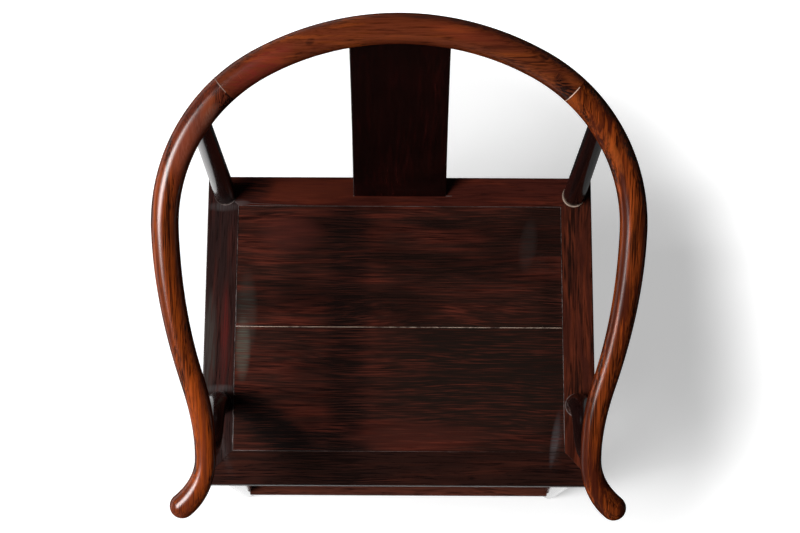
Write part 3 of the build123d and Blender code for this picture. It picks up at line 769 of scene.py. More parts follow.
@dataclass
class CrestRail:
    """The horseshoe rail: three lengths of tangent arcs in one sloping plane, and two pins.

    Each arm has its own finish, and each lap its own residue and the angles it spans.
    """

    datum: Datum
    finish: Material
    arm_finishes: dict[Side, Material]
    residues: dict[Side, Material]
    bends: tuple[Bend, ...] = (
        Bend(380.5, -28.4, 38.6),
        Bend(245.4, -62.6, 36.6),
        Bend(763.6, -15.8, 32.4),
        Bend(342.2, 18.25, 28.4),
        Bend(91.5, 48.5, 35.0),
    )
    back_diameter: float = 40.0
    slope: float = 22.8
    rise: float = 457.5
    reach: float = 316.8
    lap_start: float = 185.0
    lap_end: float = 245.0
    step: float = 6.0
    ease: float = 0.06
    pin_half: float = 3.9
    pin_proud: float = 0.12
    joint_width: float = 1.2
    joint_proud: float = 0.1
    joint_span: dict[Side, Pair] = field(
        default_factory=lambda: {Side.LEFT: (8.0, 105.0), Side.RIGHT: (70.0, 178.0)}
    )
    hand_turn: float = 88.0
    hand_steps: int = 10
    arm_chord: Pair = (300.0, 800.0)

    def __post_init__(self) -> None:
        """Works out the rail's plane and its length."""
        slope = math.radians(self.slope)
        level = self.datum.seat_height + self.rise
        self.origin = Vector((0.0, self.datum.seat_y + self.reach, level))
        self.along = Vector((0.0, math.cos(slope), math.sin(slope)))
        self.normal = Vector((0.0, -math.sin(slope), math.cos(slope)))
        self.length = sum(bend.length for bend in self.bends)

    def course(self, distance: float) -> tuple[float, float, float, float]:
        """Follows the rail from the middle of the back.

        Args:
            distance: Distance along the rail, negative on the left.

        Returns:
            Place across and along the rail's plane, heading in radians, and diameter.
        """
        remaining = abs(distance)
        across, along, heading, diameter = 0.0, 0.0, 0.0, self.back_diameter
        for bend in self.bends:
            travelled = min(remaining, bend.length)
            radius = math.copysign(bend.radius, bend.turn)
            turned = heading + travelled / radius
            across += radius * (math.sin(turned) - math.sin(heading))
            along += radius * (math.cos(heading) - math.cos(turned))
            heading = turned
            share = (1 - math.cos(math.pi * travelled / bend.length)) / 2
            diameter += (bend.diameter - diameter) * share
            remaining -= travelled
            if remaining <= 0:
                break
        if distance < 0:
            across, heading = -across, -heading
        return across, along, heading, diameter

    def center(self, distance: float) -> Vector:
        """Point of the centre line."""
        across, along, _, _ = self.course(distance)
        return self.origin + Vector((across, 0.0, 0.0)) + self.along * along

    def forward(self, distance: float) -> Vector:
        """Direction of the centre line, away from the left hand."""
        heading = self.course(distance)[2]
        return Vector((math.cos(heading), 0.0, 0.0)) + self.along * math.sin(heading)

    def ring(self, distance: float) -> Ring:
        """Finds a circle of the rail.

        Args:
            distance: Distance along the rail, negative on the left.

        Returns:
            The circle.
        """
        forward = self.forward(distance)
        plane = plane_at(self.center(distance), self.normal.cross(forward), forward)
        return Ring(plane, self.course(distance)[3] / 2 - self.ease)

    def rings(self, start: float, end: float) -> list[Ring]:
        """Circles of the rail from start to end."""
        count = max(2, math.ceil(abs(end - start) / self.step))
        return [self.ring(start + (end - start) * index / count) for index in range(count + 1)]

    def halve(self, solid: Solid, above: bool, low: float, high: float, sign: int) -> None:
        """Cuts one half of a lap away, down to the rail's own plane, and closes the cut.

        Args:
            solid: Open-ended tube.
            above: Whether the upper half goes.
            low: Distance where the cut starts.
            high: Distance where it ends.
            sign: Side of the chair.
        """
        bm = solid.bm
        start_plane, end_plane = self.ring(sign * low).plane, self.ring(sign * high).plane
        heading = self.forward(sign * low) * sign
        end_heading = self.forward(sign * high) * sign

        def cut_away(face: bmesh.types.BMFace) -> bool:
            """Says which faces belong to the half that goes.

            Args:
                face: A face of the tube.

            Returns:
                Whether it goes.
            """
            middle = face.calc_center_median()
            over = (middle - self.origin).dot(self.normal)
            past = (middle - start_plane.translation).dot(heading) > 0.0
            before = (middle - end_plane.translation).dot(end_heading) < 0.0
            near = (middle - self.center(sign * (low + high) / 2)).length < 2.0 * self.back_diameter
            return past and before and near and (over > 0.0) == above

        doomed = [face for face in bm.faces if cut_away(face)]
        bmesh.ops.delete(bm, geom=doomed, context="FACES")
        rims = [edge for edge in bm.edges if edge.is_boundary]
        level = [
            edge
            for edge in rims
            if all(abs((vert.co - self.origin).dot(self.normal)) < NEAR for vert in edge.verts)
            and abs((edge.verts[1].co - edge.verts[0].co).normalized().dot(self.normal)) < NEAR
            and edge.verts[0].co.x * sign > 0.0
        ]
        bmesh.ops.bridge_loops(bm, edges=level)

    def close(self, solid: Solid) -> None:
        """Closes every open end."""
        rims = [edge for edge in solid.bm.edges if edge.is_boundary]
        bmesh.ops.holes_fill(solid.bm, edges=rims, sides=0)

    def grain(self, start: float, end: float) -> Matrix:
        """Straight grain of a length of the rail, along its chord."""
        first, last = self.center(start), self.center(end)
        return plane_at(first, self.normal, last - first) @ QUARTER_Y

    def build(self) -> None:
        """Makes the three lengths and the pins."""
        solid = Solid()
        left = self.rings(-self.lap_end, -self.lap_start)
        middle = self.rings(-self.lap_start, self.lap_start)[1:]
        right = self.rings(self.lap_start, self.lap_end)[1:]
        solid.tube(left + middle + right, capped=False)
        for side in Side:
            self.halve(solid, False, self.lap_start, self.lap_end, side.value)
        self.close(solid)
        solid.piece(
            "rail_middle", self.finish, ["crest_rail_center"],
            self.grain(-self.lap_start, self.lap_start), 0.31,
        )
        for side in Side:
            self.build_arm(side)
            self.build_pin(side)
            self.build_joint_line(side)

    def hand_rings(self, sign: int) -> list[Ring]:
        """Closes the hand in a round end.

        Args:
            sign: Side of the chair.

        Returns:
            The circles past the rail's end.
        """
        last = self.ring(sign * self.length)
        heading = self.forward(sign * self.length) * sign
        rings = []
        for index in range(1, self.hand_steps + 1):
            turn = math.radians(self.hand_turn) * index / self.hand_steps
            plane = Matrix.Translation(heading * last.radius * math.sin(turn)) @ last.plane
            rings.append(Ring(plane, last.radius * math.cos(turn)))
        return rings

    def build_arm(self, side: Side) -> None:
        """Makes one arm, from its lap to its hand.

        Args:
            side: Side of the chair.
        """
        sign = side.value
        solid = Solid()
        lap = self.rings(sign * self.lap_start, sign * self.lap_end)
        rest = self.rings(sign * self.lap_end, sign * self.length)[1:]
        solid.tube(lap + rest + self.hand_rings(sign), capped=False)
        self.halve(solid, True, self.lap_start, self.lap_end, sign)
        self.close(solid)
        solid.piece(
            f"rail_arm_{side.word}", self.arm_finishes[side],
            [f"crest_rail_{side.word}_arm"],
            self.grain(*(sign * distance for distance in self.arm_chord)), 0.83 + 0.57 * sign,
        )

    def build_joint_line(self, side: Side) -> None:
        """Lays pale residue in the end of one lap, over the top of the rail.

        Args:
            side: Side of the chair.
        """
        sign = side.value
        ring = self.ring(sign * self.lap_end)
        heading = self.forward(sign * self.lap_end)
        out = self.normal.cross(heading)
        low, high = self.joint_span[side]
        turn = Matrix.Rotation(math.radians(low), 4, heading)
        solid = Solid()
        start = Matrix.Translation(ring.plane.translation) @ turn
        start = start @ Matrix.Translation(out * (ring.radius + self.joint_proud))
        face = bmesh.ops.create_circle(
            solid.bm, cap_ends=True, segments=6, radius=self.joint_width / 2,
            matrix=start @ plane_at(Vector(), heading, heading.cross(out)),
        )
        geom = face["verts"] + solid.bm.edges[:] + solid.bm.faces[:]
        bmesh.ops.spin(
            solid.bm, geom=geom, cent=ring.plane.translation, axis=heading,
            angle=math.radians(high - low), steps=20, use_duplicate=False,
        )
        solid.piece(f"lap_wax_{side.word}", self.residues[side], (), ring.plane, 0.1)

    def build_pin(self, side: Side) -> None:
        """Makes the square pin that locks one lap, its ends dressed to the rail's curve.

        Args:
            side: Side of the chair.
        """
        middle = self.ring(side.value * (self.lap_start + self.lap_end) / 2)
        solid = Solid()
        half = self.pin_half
        solid.block((-half, -1.0, -half), (half, 1.0, half))
        solid.divide(5, 0)
        solid.divide(5, 2)
        skin = middle.radius + self.pin_proud

        def to_skin(place: Vector) -> Vector:
            """Sets a point of the pin's ends on the rail's curve."""
            out = math.sqrt(skin**2 - place.x**2)
            return Vector((place.x, math.copysign(out, place.y), place.z))

        solid.move_each(to_skin)
        solid.transform(middle.plane)
        solid.piece(
            f"lap_pin_{side.word}", self.finish, [f"scarf_pin_{side.word}"],
            middle.plane, 0.2,
        )


@dataclass
class Posts:
    """Rear legs that become the back posts, front legs, and goose-neck arm posts."""

    datum: Datum
    rail: CrestRail
    finish: Material
    front_finish: Material
    rear_x: float = 273.0
    rear_inset: float = 28.5
    rear_distance: float = 297.0
    front_x: float = 267.5
    front_inset: float = 28.0
    splay: Pair = (8.0, -4.0)
    arm_x: float = 272.0
    arm_inset: float = 122.5
    arm_distance: float = 766.0
    foot_chamfer: float = 1.5
    rear_foot_radius: float = 18.0
    rear_shoulder_radius: float = 18.6
    rear_post_radius: float = 17.0
    rear_taper: float = 3.5
    front_foot_radius: float = 17.5
    front_top_radius: float = 18.5
    leg_swell: float = 1.0
    leg_heights: Point = (120.0, 240.0, 360.0)
    arm_radius: float = 17.5
    arm_taper: float = 4.25
    arm_rings: int = 40
    flat_over: float = 600.0
    left_shift: float = 0.41

    def __post_init__(self) -> None:
        """Works out the axes of the right-hand legs."""
        datum = self.datum
        self.rear_seat = Vector((self.rear_x, datum.rear_y - self.rear_inset, datum.seat_height))
        self.rear_top = self.rail.center(self.rear_distance)
        self.front_top = Vector((self.front_x, datum.front_y + self.front_inset, datum.under))
        self.front_foot = Vector(
            (self.front_x + self.splay[0], self.front_top.y + self.splay[1], 0.0)
        )

    @staticmethod
    def at_height(top: Vector, other: Vector, height: float) -> Vector:
        """Point at a height on the line through two points."""
        share = (height - top.z) / (other.z - top.z)
        return top + (other - top) * share

    def straight(self, low: Vector, high: Vector, profile: Sequence[Pair]) -> list[Ring]:
        """Level circles up a leaning leg.

        Args:
            low: A point of its axis.
            high: A higher point of its axis.
            profile: Height and radius of each circle.

        Returns:
            The circles.
        """
        return [
            Ring(plane_at(self.at_height(low, high, height), ACROSS, UP), radius)
            for height, radius in profile
        ]

    def build(self) -> None:
        """Makes all six posts."""
        for side in Side:
            self.build_rear(side)
            self.build_front(side)
            self.build_arm(side)

    def dress(
        self, rings: Sequence[Ring], side: Side, name: str, node: str, grain: Matrix, seed: float
    ) -> None:
        """Makes the piece of one post, mirrored on the left.

        Args:
            rings: Circles of the right-hand post.
            side: Side of the chair.
            name: Name of the piece, without its side.
            node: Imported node, without its side.
            grain: Grain of the right-hand post.
            seed: Shift of the grain.
        """
        solid = Solid()
        solid.tube(rings)
        if side is Side.LEFT:
            solid.mirror()
            grain = Matrix.Diagonal((-1.0, 1.0, 1.0, 1.0)) @ grain
            seed += self.left_shift
        finish = self.front_finish if node == "front_leg" else self.finish
        nodes = [f"{node}_{side.word}"]
        solid.piece(f"{name}_{side.word}", finish, nodes, grain, seed, self.flat_over)

    @staticmethod
    def upright_grain(low: Vector, high: Vector) -> Matrix:
        """Grain that runs up a post."""
        return plane_at(low, ACROSS, high - low) @ QUARTER_Y

    def foot(self, radius: float, heights: Sequence[float]) -> list[Pair]:
        """Shapes the lower part of a leg, which swells upwards from a chamfered foot.

        Args:
            radius: Radius at the foot.
            heights: Heights of its circles.

        Returns:
            Height and radius of each circle.
        """
        chamfer, swell = self.foot_chamfer, self.leg_swell / self.datum.under
        swollen = [(height, radius + height * swell) for height in heights]
        return [(0.0, radius - chamfer), (chamfer, radius), *swollen]

    def build_rear(self, side: Side) -> None:
        """Makes a rear leg and the back post above it.

        Args:
            side: Side of the chair.
        """
        seat, under = self.datum.seat_height, self.datum.under
        post = self.rear_post_radius
        profile = self.foot(self.rear_foot_radius, (*self.leg_heights, under - 1.0))
        profile += [(under - NEAR, self.rear_shoulder_radius), (under, post), (seat, post)]
        rise = self.rear_top.z - seat
        for share in (0.2, 0.4, 0.6, 0.8, 1.0):
            profile.append((seat + rise * share, post - self.rear_taper * share))
        rings = self.straight(self.rear_seat, self.rear_top, profile)
        grain = self.upright_grain(self.rear_seat, self.rear_top)
        self.dress(rings, side, "rear_leg_post", "rear_leg", grain, 1.9)

    def build_front(self, side: Side) -> None:
        """Makes a front leg.

        Args:
            side: Side of the chair.
        """
        profile = self.foot(self.front_foot_radius, self.leg_heights)
        profile.append((self.datum.under, self.front_top_radius))
        rings = self.straight(self.front_foot, self.front_top, profile)
        grain = self.upright_grain(self.front_foot, self.front_top)
        self.dress(rings, side, "front_leg_round", "front_leg", grain, 2.7)

    def build_arm(self, side: Side) -> None:
        """Makes a goose-neck arm post: an upright S of two equal arcs.

        Args:
            side: Side of the chair.
        """
        base = Vector((self.arm_x, self.datum.front_y + self.arm_inset, self.datum.seat_height))
        lean = self.rail.center(self.arm_distance) - base
        across = Vector((lean.x, lean.y, 0.0))
        reach = across.length
        across.normalize()
        turn = 2.0 * math.atan2(reach, lean.z)
        radius = lean.z / (2.0 * math.sin(turn))
        sideways = UP.cross(across)
        rings = []
        for index in range(self.arm_rings + 1):
            share = index / self.arm_rings
            turned = 2.0 * turn * min(share, 1.0 - share)
            out, rise = radius * (1.0 - math.cos(turned)), radius * math.sin(turned)
            if share > 0.5:
                out, rise = reach - out, lean.z - rise
            heading = across * math.sin(turned) + UP * math.cos(turned)
            plane = plane_at(base + across * out + UP * rise, sideways, heading)
            rings.append(Ring(plane, self.arm_radius - self.arm_taper * share))
        grain = self.upright_grain(base, base + lean)
        self.dress(rings, side, "arm_post_round", "arm_post", grain, 3.3)


@dataclass
class BackSplat:
    """Plain back board, bent to one arc and tapering a little upwards."""

    datum: Datum
    rail: CrestRail
    finish: Material
    bottom_width: float = 145.0
    top_width: float = 133.0
    thickness: float = 16.0
    inset: float = 30.5
    bow: float = 14.0
    below_seat: float = 14.0
    below_rail: float = 9.0
    edge_round: float = 2.2
    round_steps: int = 4
    cuts_up: int = 40
    cuts_across: int = 9
    flat_over: float = 2000.0

    def __post_init__(self) -> None:
        """Works out the arc seen from the side, from the middle of the seat's top."""
        reach, rise = self.rail.reach, self.rail.rise
        self.bottom = self.datum.seat_depth / 2 - self.inset + self.thickness / 2
        run = reach - self.bottom
        chord = math.hypot(run, rise)
        self.radius = (chord**2 / 4 + self.bow**2) / (2 * self.bow)
        pull = (self.radius - self.bow) / chord
        self.center_y = (self.bottom + reach) / 2 - pull * rise
        self.center_z = rise / 2 + pull * run
        low = math.atan2(-self.center_z, self.bottom - self.center_y)
        high = math.atan2(rise - self.center_z, reach - self.center_y)
        self.low = low - self.below_seat / self.radius
        self.high = high - self.below_rail / self.radius

    def bend(self, place: Vector) -> Vector:
        """Bends the straight board to its arc.

        Args:
            place: Point of the straight board, which is 1 high.

        Returns:
            Its place on the splat.
        """
        angle = self.low + (self.high - self.low) * place.z
        reach = self.radius + place.y
        y_place = self.center_y + reach * math.cos(angle)
        z_place = self.center_z + reach * math.sin(angle)
        share = z_place / self.rail.rise
        width = self.bottom_width + (self.top_width - self.bottom_width) * share
        x_place = place.x * (width / self.bottom_width)
        return Vector((x_place, self.datum.seat_y + y_place, self.datum.seat_height + z_place))

    def build(self) -> None:
        """Makes the splat."""
        solid = Solid()
        width, half = self.bottom_width / 2, self.thickness / 2
        solid.block((-width, -half, 0.0), (width, half, 1.0))
        solid.bevel(self.edge_round, lambda edge: runs_along(edge, 2), self.round_steps)
        solid.divide(self.cuts_up, 2)
        solid.divide(self.cuts_across, 0)
        solid.move_each(self.bend)
        foot = Vector((0.0, self.datum.seat_y + self.bottom, self.datum.seat_height))
        grain = Posts.upright_grain(foot, self.rail.center(0.0))
        solid.piece(
            "splat_board", self.finish, ["back_splat"], grain, 4.1, self.flat_over
        )


@dataclass
class Seat:
    """Mitred frame, floating panel of two boards, battens, and the residue in its joints.

    Each frame member has its own finish. The residues are bright, dull and faint.
    """

    datum: Datum
    posts: Posts
    splat: BackSplat
    frame_finishes: dict[str, Material]
    panel_finish: Material
    residues: dict[str, Material]
    edge_round: float = 2.5
    joint_round: float = 0.5
    joint_angle: float = 1.0
    panel_sink: float = 0.5
    panel_thickness: float = 14.0
    panel_gap: float = 0.3
    panel_round: float = 0.7
    seam_half: float = 0.15
    grain_lift: float = 30.0
    batten_x: float = 126.0
    batten_half: float = 17.0
    batten_lift: float = 2.0
    batten_round: float = 2.0
    wax_depth: float = 1.5
    wax_proud: float = 0.03
    collar_proud: float = 0.04

    def build(self) -> None:
        """Makes the seat."""
        datum = self.datum
        outer, inner, top = datum.seat_width / 2, datum.inner_x, datum.seat_height
        for name, outer_y, inner_y in (
            ("front", datum.front_y, datum.inner_front),
            ("rear", datum.rear_y, datum.inner_rear),
        ):
            corners = [(-outer, outer_y), (outer, outer_y), (inner, inner_y), (-inner, inner_y)]
            grain = Matrix.Translation((0.0, outer_y, top))
            self.build_member(name, corners, 1, grain, 5.0 + outer_y / 300.0)
        for side in Side:
            out, into = side.value * outer, side.value * inner
            corners = [
                (out, datum.front_y), (out, datum.rear_y),
                (into, datum.inner_rear), (into, datum.inner_front),
            ]
            grain = Matrix.Translation((out, 0.0, top)) @ QUARTER_Z
            self.build_member(side.word, corners, 0, grain, 6.3 + 0.5 * side.value)
            self.build_batten(side)
        self.build_boards()
        self.build_residue()
        self.build_collars()

    def build_member(
        self, name: str, corners: Sequence[Pair], axis: int, grain: Matrix, seed: float
    ) -> None:
        """Makes one member of the frame, its outer edges rounded and its joints eased.

        Args:
            name: Front, rear, left or right.
            corners: Its plan, the two outer corners first.
            axis: Axis across the member.
            grain: Its grain.
            seed: Shift of the grain.
        """
        top, outer = self.datum.seat_height, corners[0][axis]
        solid = Solid()
        solid.prism([(x, y, top) for x, y in corners], UP * -self.datum.frame_thickness)
        solid.bevel(
            self.edge_round,
            lambda edge: edge_at(edge, axis, outer) and runs_along(edge, 1 - axis),
        )
        solid.bevel(
            self.joint_round,
            lambda edge: edge_at(edge, 2, top) and edge.calc_face_angle(0.0) > self.joint_angle,
            2,
        )
        finish, nodes = self.frame_finishes[name], [f"seat_rail_{name}"]
        solid.piece(f"seat_{name}_rail", finish, nodes, grain, seed)

    def build_boards(self) -> None:
        """Makes the two boards of the panel."""
        datum = self.datum
        top = datum.seat_height - self.panel_sink
        edge = datum.inner_x - self.panel_gap
        spans = (
            ("front", datum.inner_front + self.panel_gap, datum.seam_y - self.seam_half),
            ("rear", datum.seam_y + self.seam_half, datum.inner_rear - self.panel_gap),
        )
        for name, low_y, high_y in spans:
            solid = Solid()
            solid.block((-edge, low_y, top - self.panel_thickness), (edge, high_y, top))
            solid.bevel(self.panel_round, lambda item: edge_at(item, 2, top), 2)
            solid.piece(
                f"seat_panel_{name}", self.panel_finish, [f"seat_board_{name}"],
                Matrix.Translation((0.0, low_y, top + self.grain_lift)), 7.0 + high_y / 150.0,
            )

    def build_batten(self, side: Side) -> None:
        """Makes one batten under the panel.

        Args:
            side: Side of the chair.
        """
        datum = self.datum
        middle, low = side.value * self.batten_x, datum.under + self.batten_lift
        high = datum.seat_height - self.panel_sink - self.panel_thickness
        solid = Solid()
        solid.block(
            (middle - self.batten_half, datum.inner_front, low),
            (middle + self.batten_half, datum.inner_rear, high),
        )
        solid.bevel(self.batten_round, lambda edge: edge_at(edge, 2, low))
        solid.piece(
            f"panel_batten_{side.word}", self.frame_finishes["front"],
            [f"seat_batten_{side.word}"], QUARTER_Z, 8.0 + 0.3 * side.value,
        )

    def build_residue(self) -> None:
        """Fills the joints of the seat's top with thin broken lines of old wax."""
        datum = self.datum
        edge, front, rear = datum.inner_x, datum.inner_front, datum.inner_rear
        foot = datum.rear_y - self.splat.inset
        lines = (
            ("seam_wax", "bright", 0.9, ((-edge, datum.seam_y), (edge, datum.seam_y))),
            ("left_wax", "dull", 0.8, ((-edge, front), (-edge, rear))),
            ("right_wax", "dull", 0.8, ((edge, front), (edge, rear))),
            ("front_wax", "faint", 0.7, ((-edge, front), (edge, front))),
            ("rear_wax", "faint", 0.8, ((-edge, rear), (edge, rear))),
            ("rear_wax_second", "faint", 0.6, ((-edge, rear + 4.4), (-edge + 92.0, rear + 0.6))),
            ("splat_foot_wax", "dull", 0.9, ((-73.0, foot), (82.0, foot + 0.3))),
        )
        for name, shade, width, ends in lines:
            start, end = (Vector((x, y, datum.seat_height)) for x, y in ends)
            run, half = end - start, width / 2
            solid = Solid()
            solid.block((0.0, -half, -self.wax_depth), (run.length, half, self.wax_proud))
            solid.transform(plane_at(start, run, UP))
            solid.piece(name, self.residues[shade])

    def build_collars(self) -> None:
        """Lays thin uneven rings of old wax round the feet of the posts."""
        top = self.datum.seat_height
        rear_y = self.datum.rear_y - self.posts.rear_inset
        arm_y = self.datum.front_y + self.posts.arm_inset
        collars = (
            ("rear_left", "dull", (-272.8, rear_y - 1.1), 17.3),
            ("rear_right", "bright", (272.2, rear_y - 1.0), 17.7),
            ("arm_left", "dull", (-272.0, arm_y + 0.8), 17.9),
            ("arm_right", "dull", (272.0, arm_y - 0.2), 18.3),
        )
        for name, shade, (x, y), radius in collars:
            solid = Solid()
            levels = (top - self.wax_depth, top + self.collar_proud)
            solid.tube([Ring(Matrix.Translation((x, y, level)), radius) for level in levels])
            solid.piece(f"{name}_wax", self.residues[shade])


@dataclass
class Underframe:
    """Footrest, stretchers and aprons."""

    datum: Datum
    posts: Posts
    leg_finish: Material
    apron_finish: Material
    footrest_top: float = 100.0
    footrest_thickness: float = 22.0
    footrest_width: float = 46.0
    footrest_overhang: float = 0.5
    footrest_round: float = 4.0
    front_leg_radius: float = 17.6
    side_height: float = 150.0
    rear_height: float = 200.0
    bar_tall: float = 32.0
    bar_wide: float = 22.0
    bar_round: float = 8.0
    bar_end: float = 12.0
    apron_thickness: float = 13.0
    apron_height: float = 48.0
    apron_housing: float = 6.0
    apron_rounds: Pair = (16.0, 8.0)
    rear_leg_clear: float = 19.0
    ear_height: float = 112.0
    ear_width: float = 24.0

    def front_axis(self, height: float) -> Vector:
        """Axis of the right front leg at a height."""
        return Posts.at_height(self.posts.front_foot, self.posts.front_top, height)

    def rear_axis(self, height: float) -> Vector:
        """Axis of the right rear leg at a height."""
        return Posts.at_height(self.posts.rear_seat, self.posts.rear_top, height)

    def build(self) -> None:
        """Makes all the bars and aprons."""
        start, end = self.front_axis(self.side_height), self.rear_axis(self.side_height)
        for side in Side:
            flip = Vector((side.value, 1.0, 1.0))
            name, node = f"side_stretcher_{side.word}", f"stretcher_{side.word}"
            self.build_bar(start * flip, end * flip, name, node, 9.0 + 0.4 * side.value)
        end = self.rear_axis(self.rear_height)
        start = Vector((-end.x, end.y, end.z))
        self.build_bar(start, end, "rear_stretcher_bar", "stretcher_rear", 9.9)
        self.build_footrest()
        self.build_aprons()

    def build_bar(self, start: Vector, end: Vector, name: str, node: str, seed: float) -> None:
        """Makes one rounded stretcher between two legs.

        Args:
            start: Place on the axis of one leg.
            end: Place on the axis of the other.
            name: Name of the piece.
            node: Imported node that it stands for.
            seed: Shift of the grain.
        """
        run = end - start
        tall, wide = self.bar_tall / 2, self.bar_wide / 2
        solid = Solid()
        solid.block((-tall, -wide, self.bar_end), (tall, wide, run.length - self.bar_end))
        solid.bevel(self.bar_round, lambda edge: runs_along(edge, 2), 6)
        place = plane_at(start, UP, run)
        solid.transform(place)
        solid.piece(name, self.leg_finish, [node], place @ QUARTER_Y, seed)

    def build_footrest(self) -> None:
        """Makes the footrest between the front legs."""
        bottom = self.footrest_top - self.footrest_thickness
        axis = self.front_axis(self.footrest_top - self.footrest_thickness / 2)
        front = axis.y - self.front_leg_radius - self.footrest_overhang
        reach = axis.x - self.bar_end
        solid = Solid()
        rear = front + self.footrest_width
        solid.block((-reach, front, bottom), (reach, rear, self.footrest_top))
        solid.bevel(self.footrest_round, lambda edge: runs_along(edge, 0), 4)
        grain = Matrix.Translation((0.0, front, 0.0))
        solid.piece("footrest_board", self.leg_finish, ["footrest"], grain, 10.6)

    def build_apron(
        self, middle: Vector, run: Vector, clear: float, word: str, seed: float
    ) -> None:
        """Makes one apron: a board whose lower edge rises between two ears.

        Args:
            middle: Middle of its upper edge.
            run: Direction in which it runs.
            clear: Half the clear distance between its legs.
            word: Front, rear, left or right.
            seed: Shift of the grain.
        """
        half = clear + self.apron_housing
        inner = half - self.ear_width - self.apron_housing
        foot, rise = -self.ear_height, -self.apron_height
        outline = [
            (-half, 0.0), (half, 0.0), (half, foot), (inner, foot),
            (inner, rise), (-inner, rise), (-inner, foot), (-half, foot),
        ]
        depth = self.apron_thickness
        solid = Solid()
        solid.prism([(x, z, -depth / 2) for x, z in outline], UP * depth)

        def is_corner(edge: Edge, level: float) -> bool:
            """Whether an edge is an inner corner of the outline, at one level."""
            beside = abs(abs(edge.verts[0].co.x) - inner) < NEAR
            return beside and runs_along(edge, 2) and edge_at(edge, 1, level)

        upper, lower = self.apron_rounds
        solid.bevel(upper, lambda edge: is_corner(edge, rise), 8)
        solid.bevel(lower, lambda edge: is_corner(edge, foot), 6)
        place = plane_at(middle, run, run.normalized().cross(UP))
        solid.transform(place)
        finish, nodes = self.apron_finish, [f"apron_{word}"]
        solid.piece(f"apron_{word}_board", finish, nodes, place, seed)

    def build_aprons(self) -> None:
        """Makes the four aprons."""
        under = self.datum.under
        front, rear = self.front_axis(under), self.rear_axis(under)
        clear = front.x - self.posts.front_top_radius
        self.build_apron(Vector((0.0, front.y, under)), ACROSS, clear, "front", 11.2)
        clear = rear.x - self.rear_leg_clear
        self.build_apron(Vector((0.0, rear.y, under)), -ACROSS, clear, "rear", 11.9)
        middle, run = (front + rear) / 2, rear - front
        clear = run.length / 2 - self.rear_leg_clear
        for side in Side:
            flip, seed = Vector((side.value, 1.0, 1.0)), 12.5 + 0.4 * side.value
            self.build_apron(middle * flip, run * flip, clear, side.word, seed)


# The studio


@dataclass(frozen=True)
class Lamp:
    """A softbox, which can be kept out of the polish or seen only there."""

    name: str
    place: Point
    aim: Point
    size: Pair
    watts: float
    mirrored: bool = True
    lights: bool = True

    def build(self) -> None:
        """Makes the softbox."""
        data = bpy.data.lights.new(self.name, "AREA")
        data.shape = "RECTANGLE"
        data.size, data.size_y = self.size
        data.energy = self.watts
        made = add_object(self.name, data)
        made.location = self.place
        course = Vector(self.aim) - Vector(self.place)
        made.rotation_euler = course.to_track_quat("-Z", "Y").to_euler()
        made.visible_glossy = self.mirrored
        made.visible_diffuse = self.lights


MIDDLE, RAIL_SIDE = (0.0, 0.0, 0.5), (-0.3, 0.1, 0.85)


@dataclass
class Studio:
    """Floor, lamps, world and camera.

    The world's walls glow up to a height and less on the right, above them is the ceiling.
    """

    lamps: tuple[Lamp, ...] = (
        Lamp("key_left", (-2.8, -0.42, 5.2), MIDDLE, (1.5, 1.5), 148.0, mirrored=False),
        Lamp("key_front", (-2.7, -1.6, 5.0), MIDDLE, (1.5, 1.5), 85.0, mirrored=False),
        Lamp("fill_left", (-1.85, -0.7, 2.4), RAIL_SIDE, (1.25, 1.0), 28.0, mirrored=False),
        Lamp("glint_broad", (-1.85, -0.55, 2.4), RAIL_SIDE, (1.5, 1.4), 30.0, lights=False),
        Lamp("glint_core", (-1.7, -0.5, 2.3), RAIL_SIDE, (0.9, 0.75), 34.0, lights=False),
    )
    lens: float = 68.95
    sensor: float = 36.0
    eye: Point = (0.00303, -0.39683, 2.8329)
    right: Point = (0.99998747, 0.00500373, 0.00017305)
    up: Point = (-0.00493758, 0.9798622, 0.19961383)
    wall_level: float = 0.12
    wall_edge: Pair = (0.12, 0.62)
    ceiling_level: float = 0.01
    right_share: float = 0.25
    right_edge: Pair = (-0.3, 0.4)
    floor_half: float = 8.0

    def build(self) -> None:
        """Makes the studio."""
        self.build_floor()
        self.build_world()
        self.build_camera()
        for lamp in self.lamps:
            lamp.build()

    def build_floor(self) -> None:
        """Makes the pale floor."""
        bm = bmesh.new()
        bmesh.ops.create_grid(bm, x_segments=1, y_segments=1, size=self.floor_half)
        mesh = bpy.data.meshes.new("floor_paper")
        bm.to_mesh(mesh)
        bm.free()
        mesh.materials.append(Paper().make())
        floor = add_object("floor_paper", mesh)

    def build_world(self) -> None:
        """Makes the even light round the chair."""
        world = bpy.data.worlds.new("studio")
        bpy.context.scene.world = world
        graph = Graph(world)
        across, _, height = graph.split(graph.coordinates("Generated"))
        walls = 1.0 - height.step(*self.wall_edge)
        flagged = 1.0 - across.step(*self.right_edge) * (1.0 - self.right_share)
        level = walls * flagged * (self.wall_level - self.ceiling_level) + self.ceiling_level
        glow = level + graph.ray("Is Camera Ray") * walls
        paper = graph.value("ShaderNodeBackground", {}, {"Color": glow, "Strength": 1.0})
        graph.node("ShaderNodeOutputWorld", {}, {"Surface": paper})

    def build_camera(self) -> None:
        """Puts the camera where the photograph was taken from."""
        data = bpy.data.cameras.new("camera")
        data.lens = self.lens
        data.sensor_width = self.sensor
        camera = add_object("camera", data)
        right, up = Vector(self.right), Vector(self.up)
        turn = Matrix((right, up, right.cross(up))).transposed().to_4x4()
        camera.matrix_world = Matrix.Translation(self.eye) @ turn
        bpy.context.scene.camera = camera
        bpy.context.scene.view_settings.view_transform = "Standard"
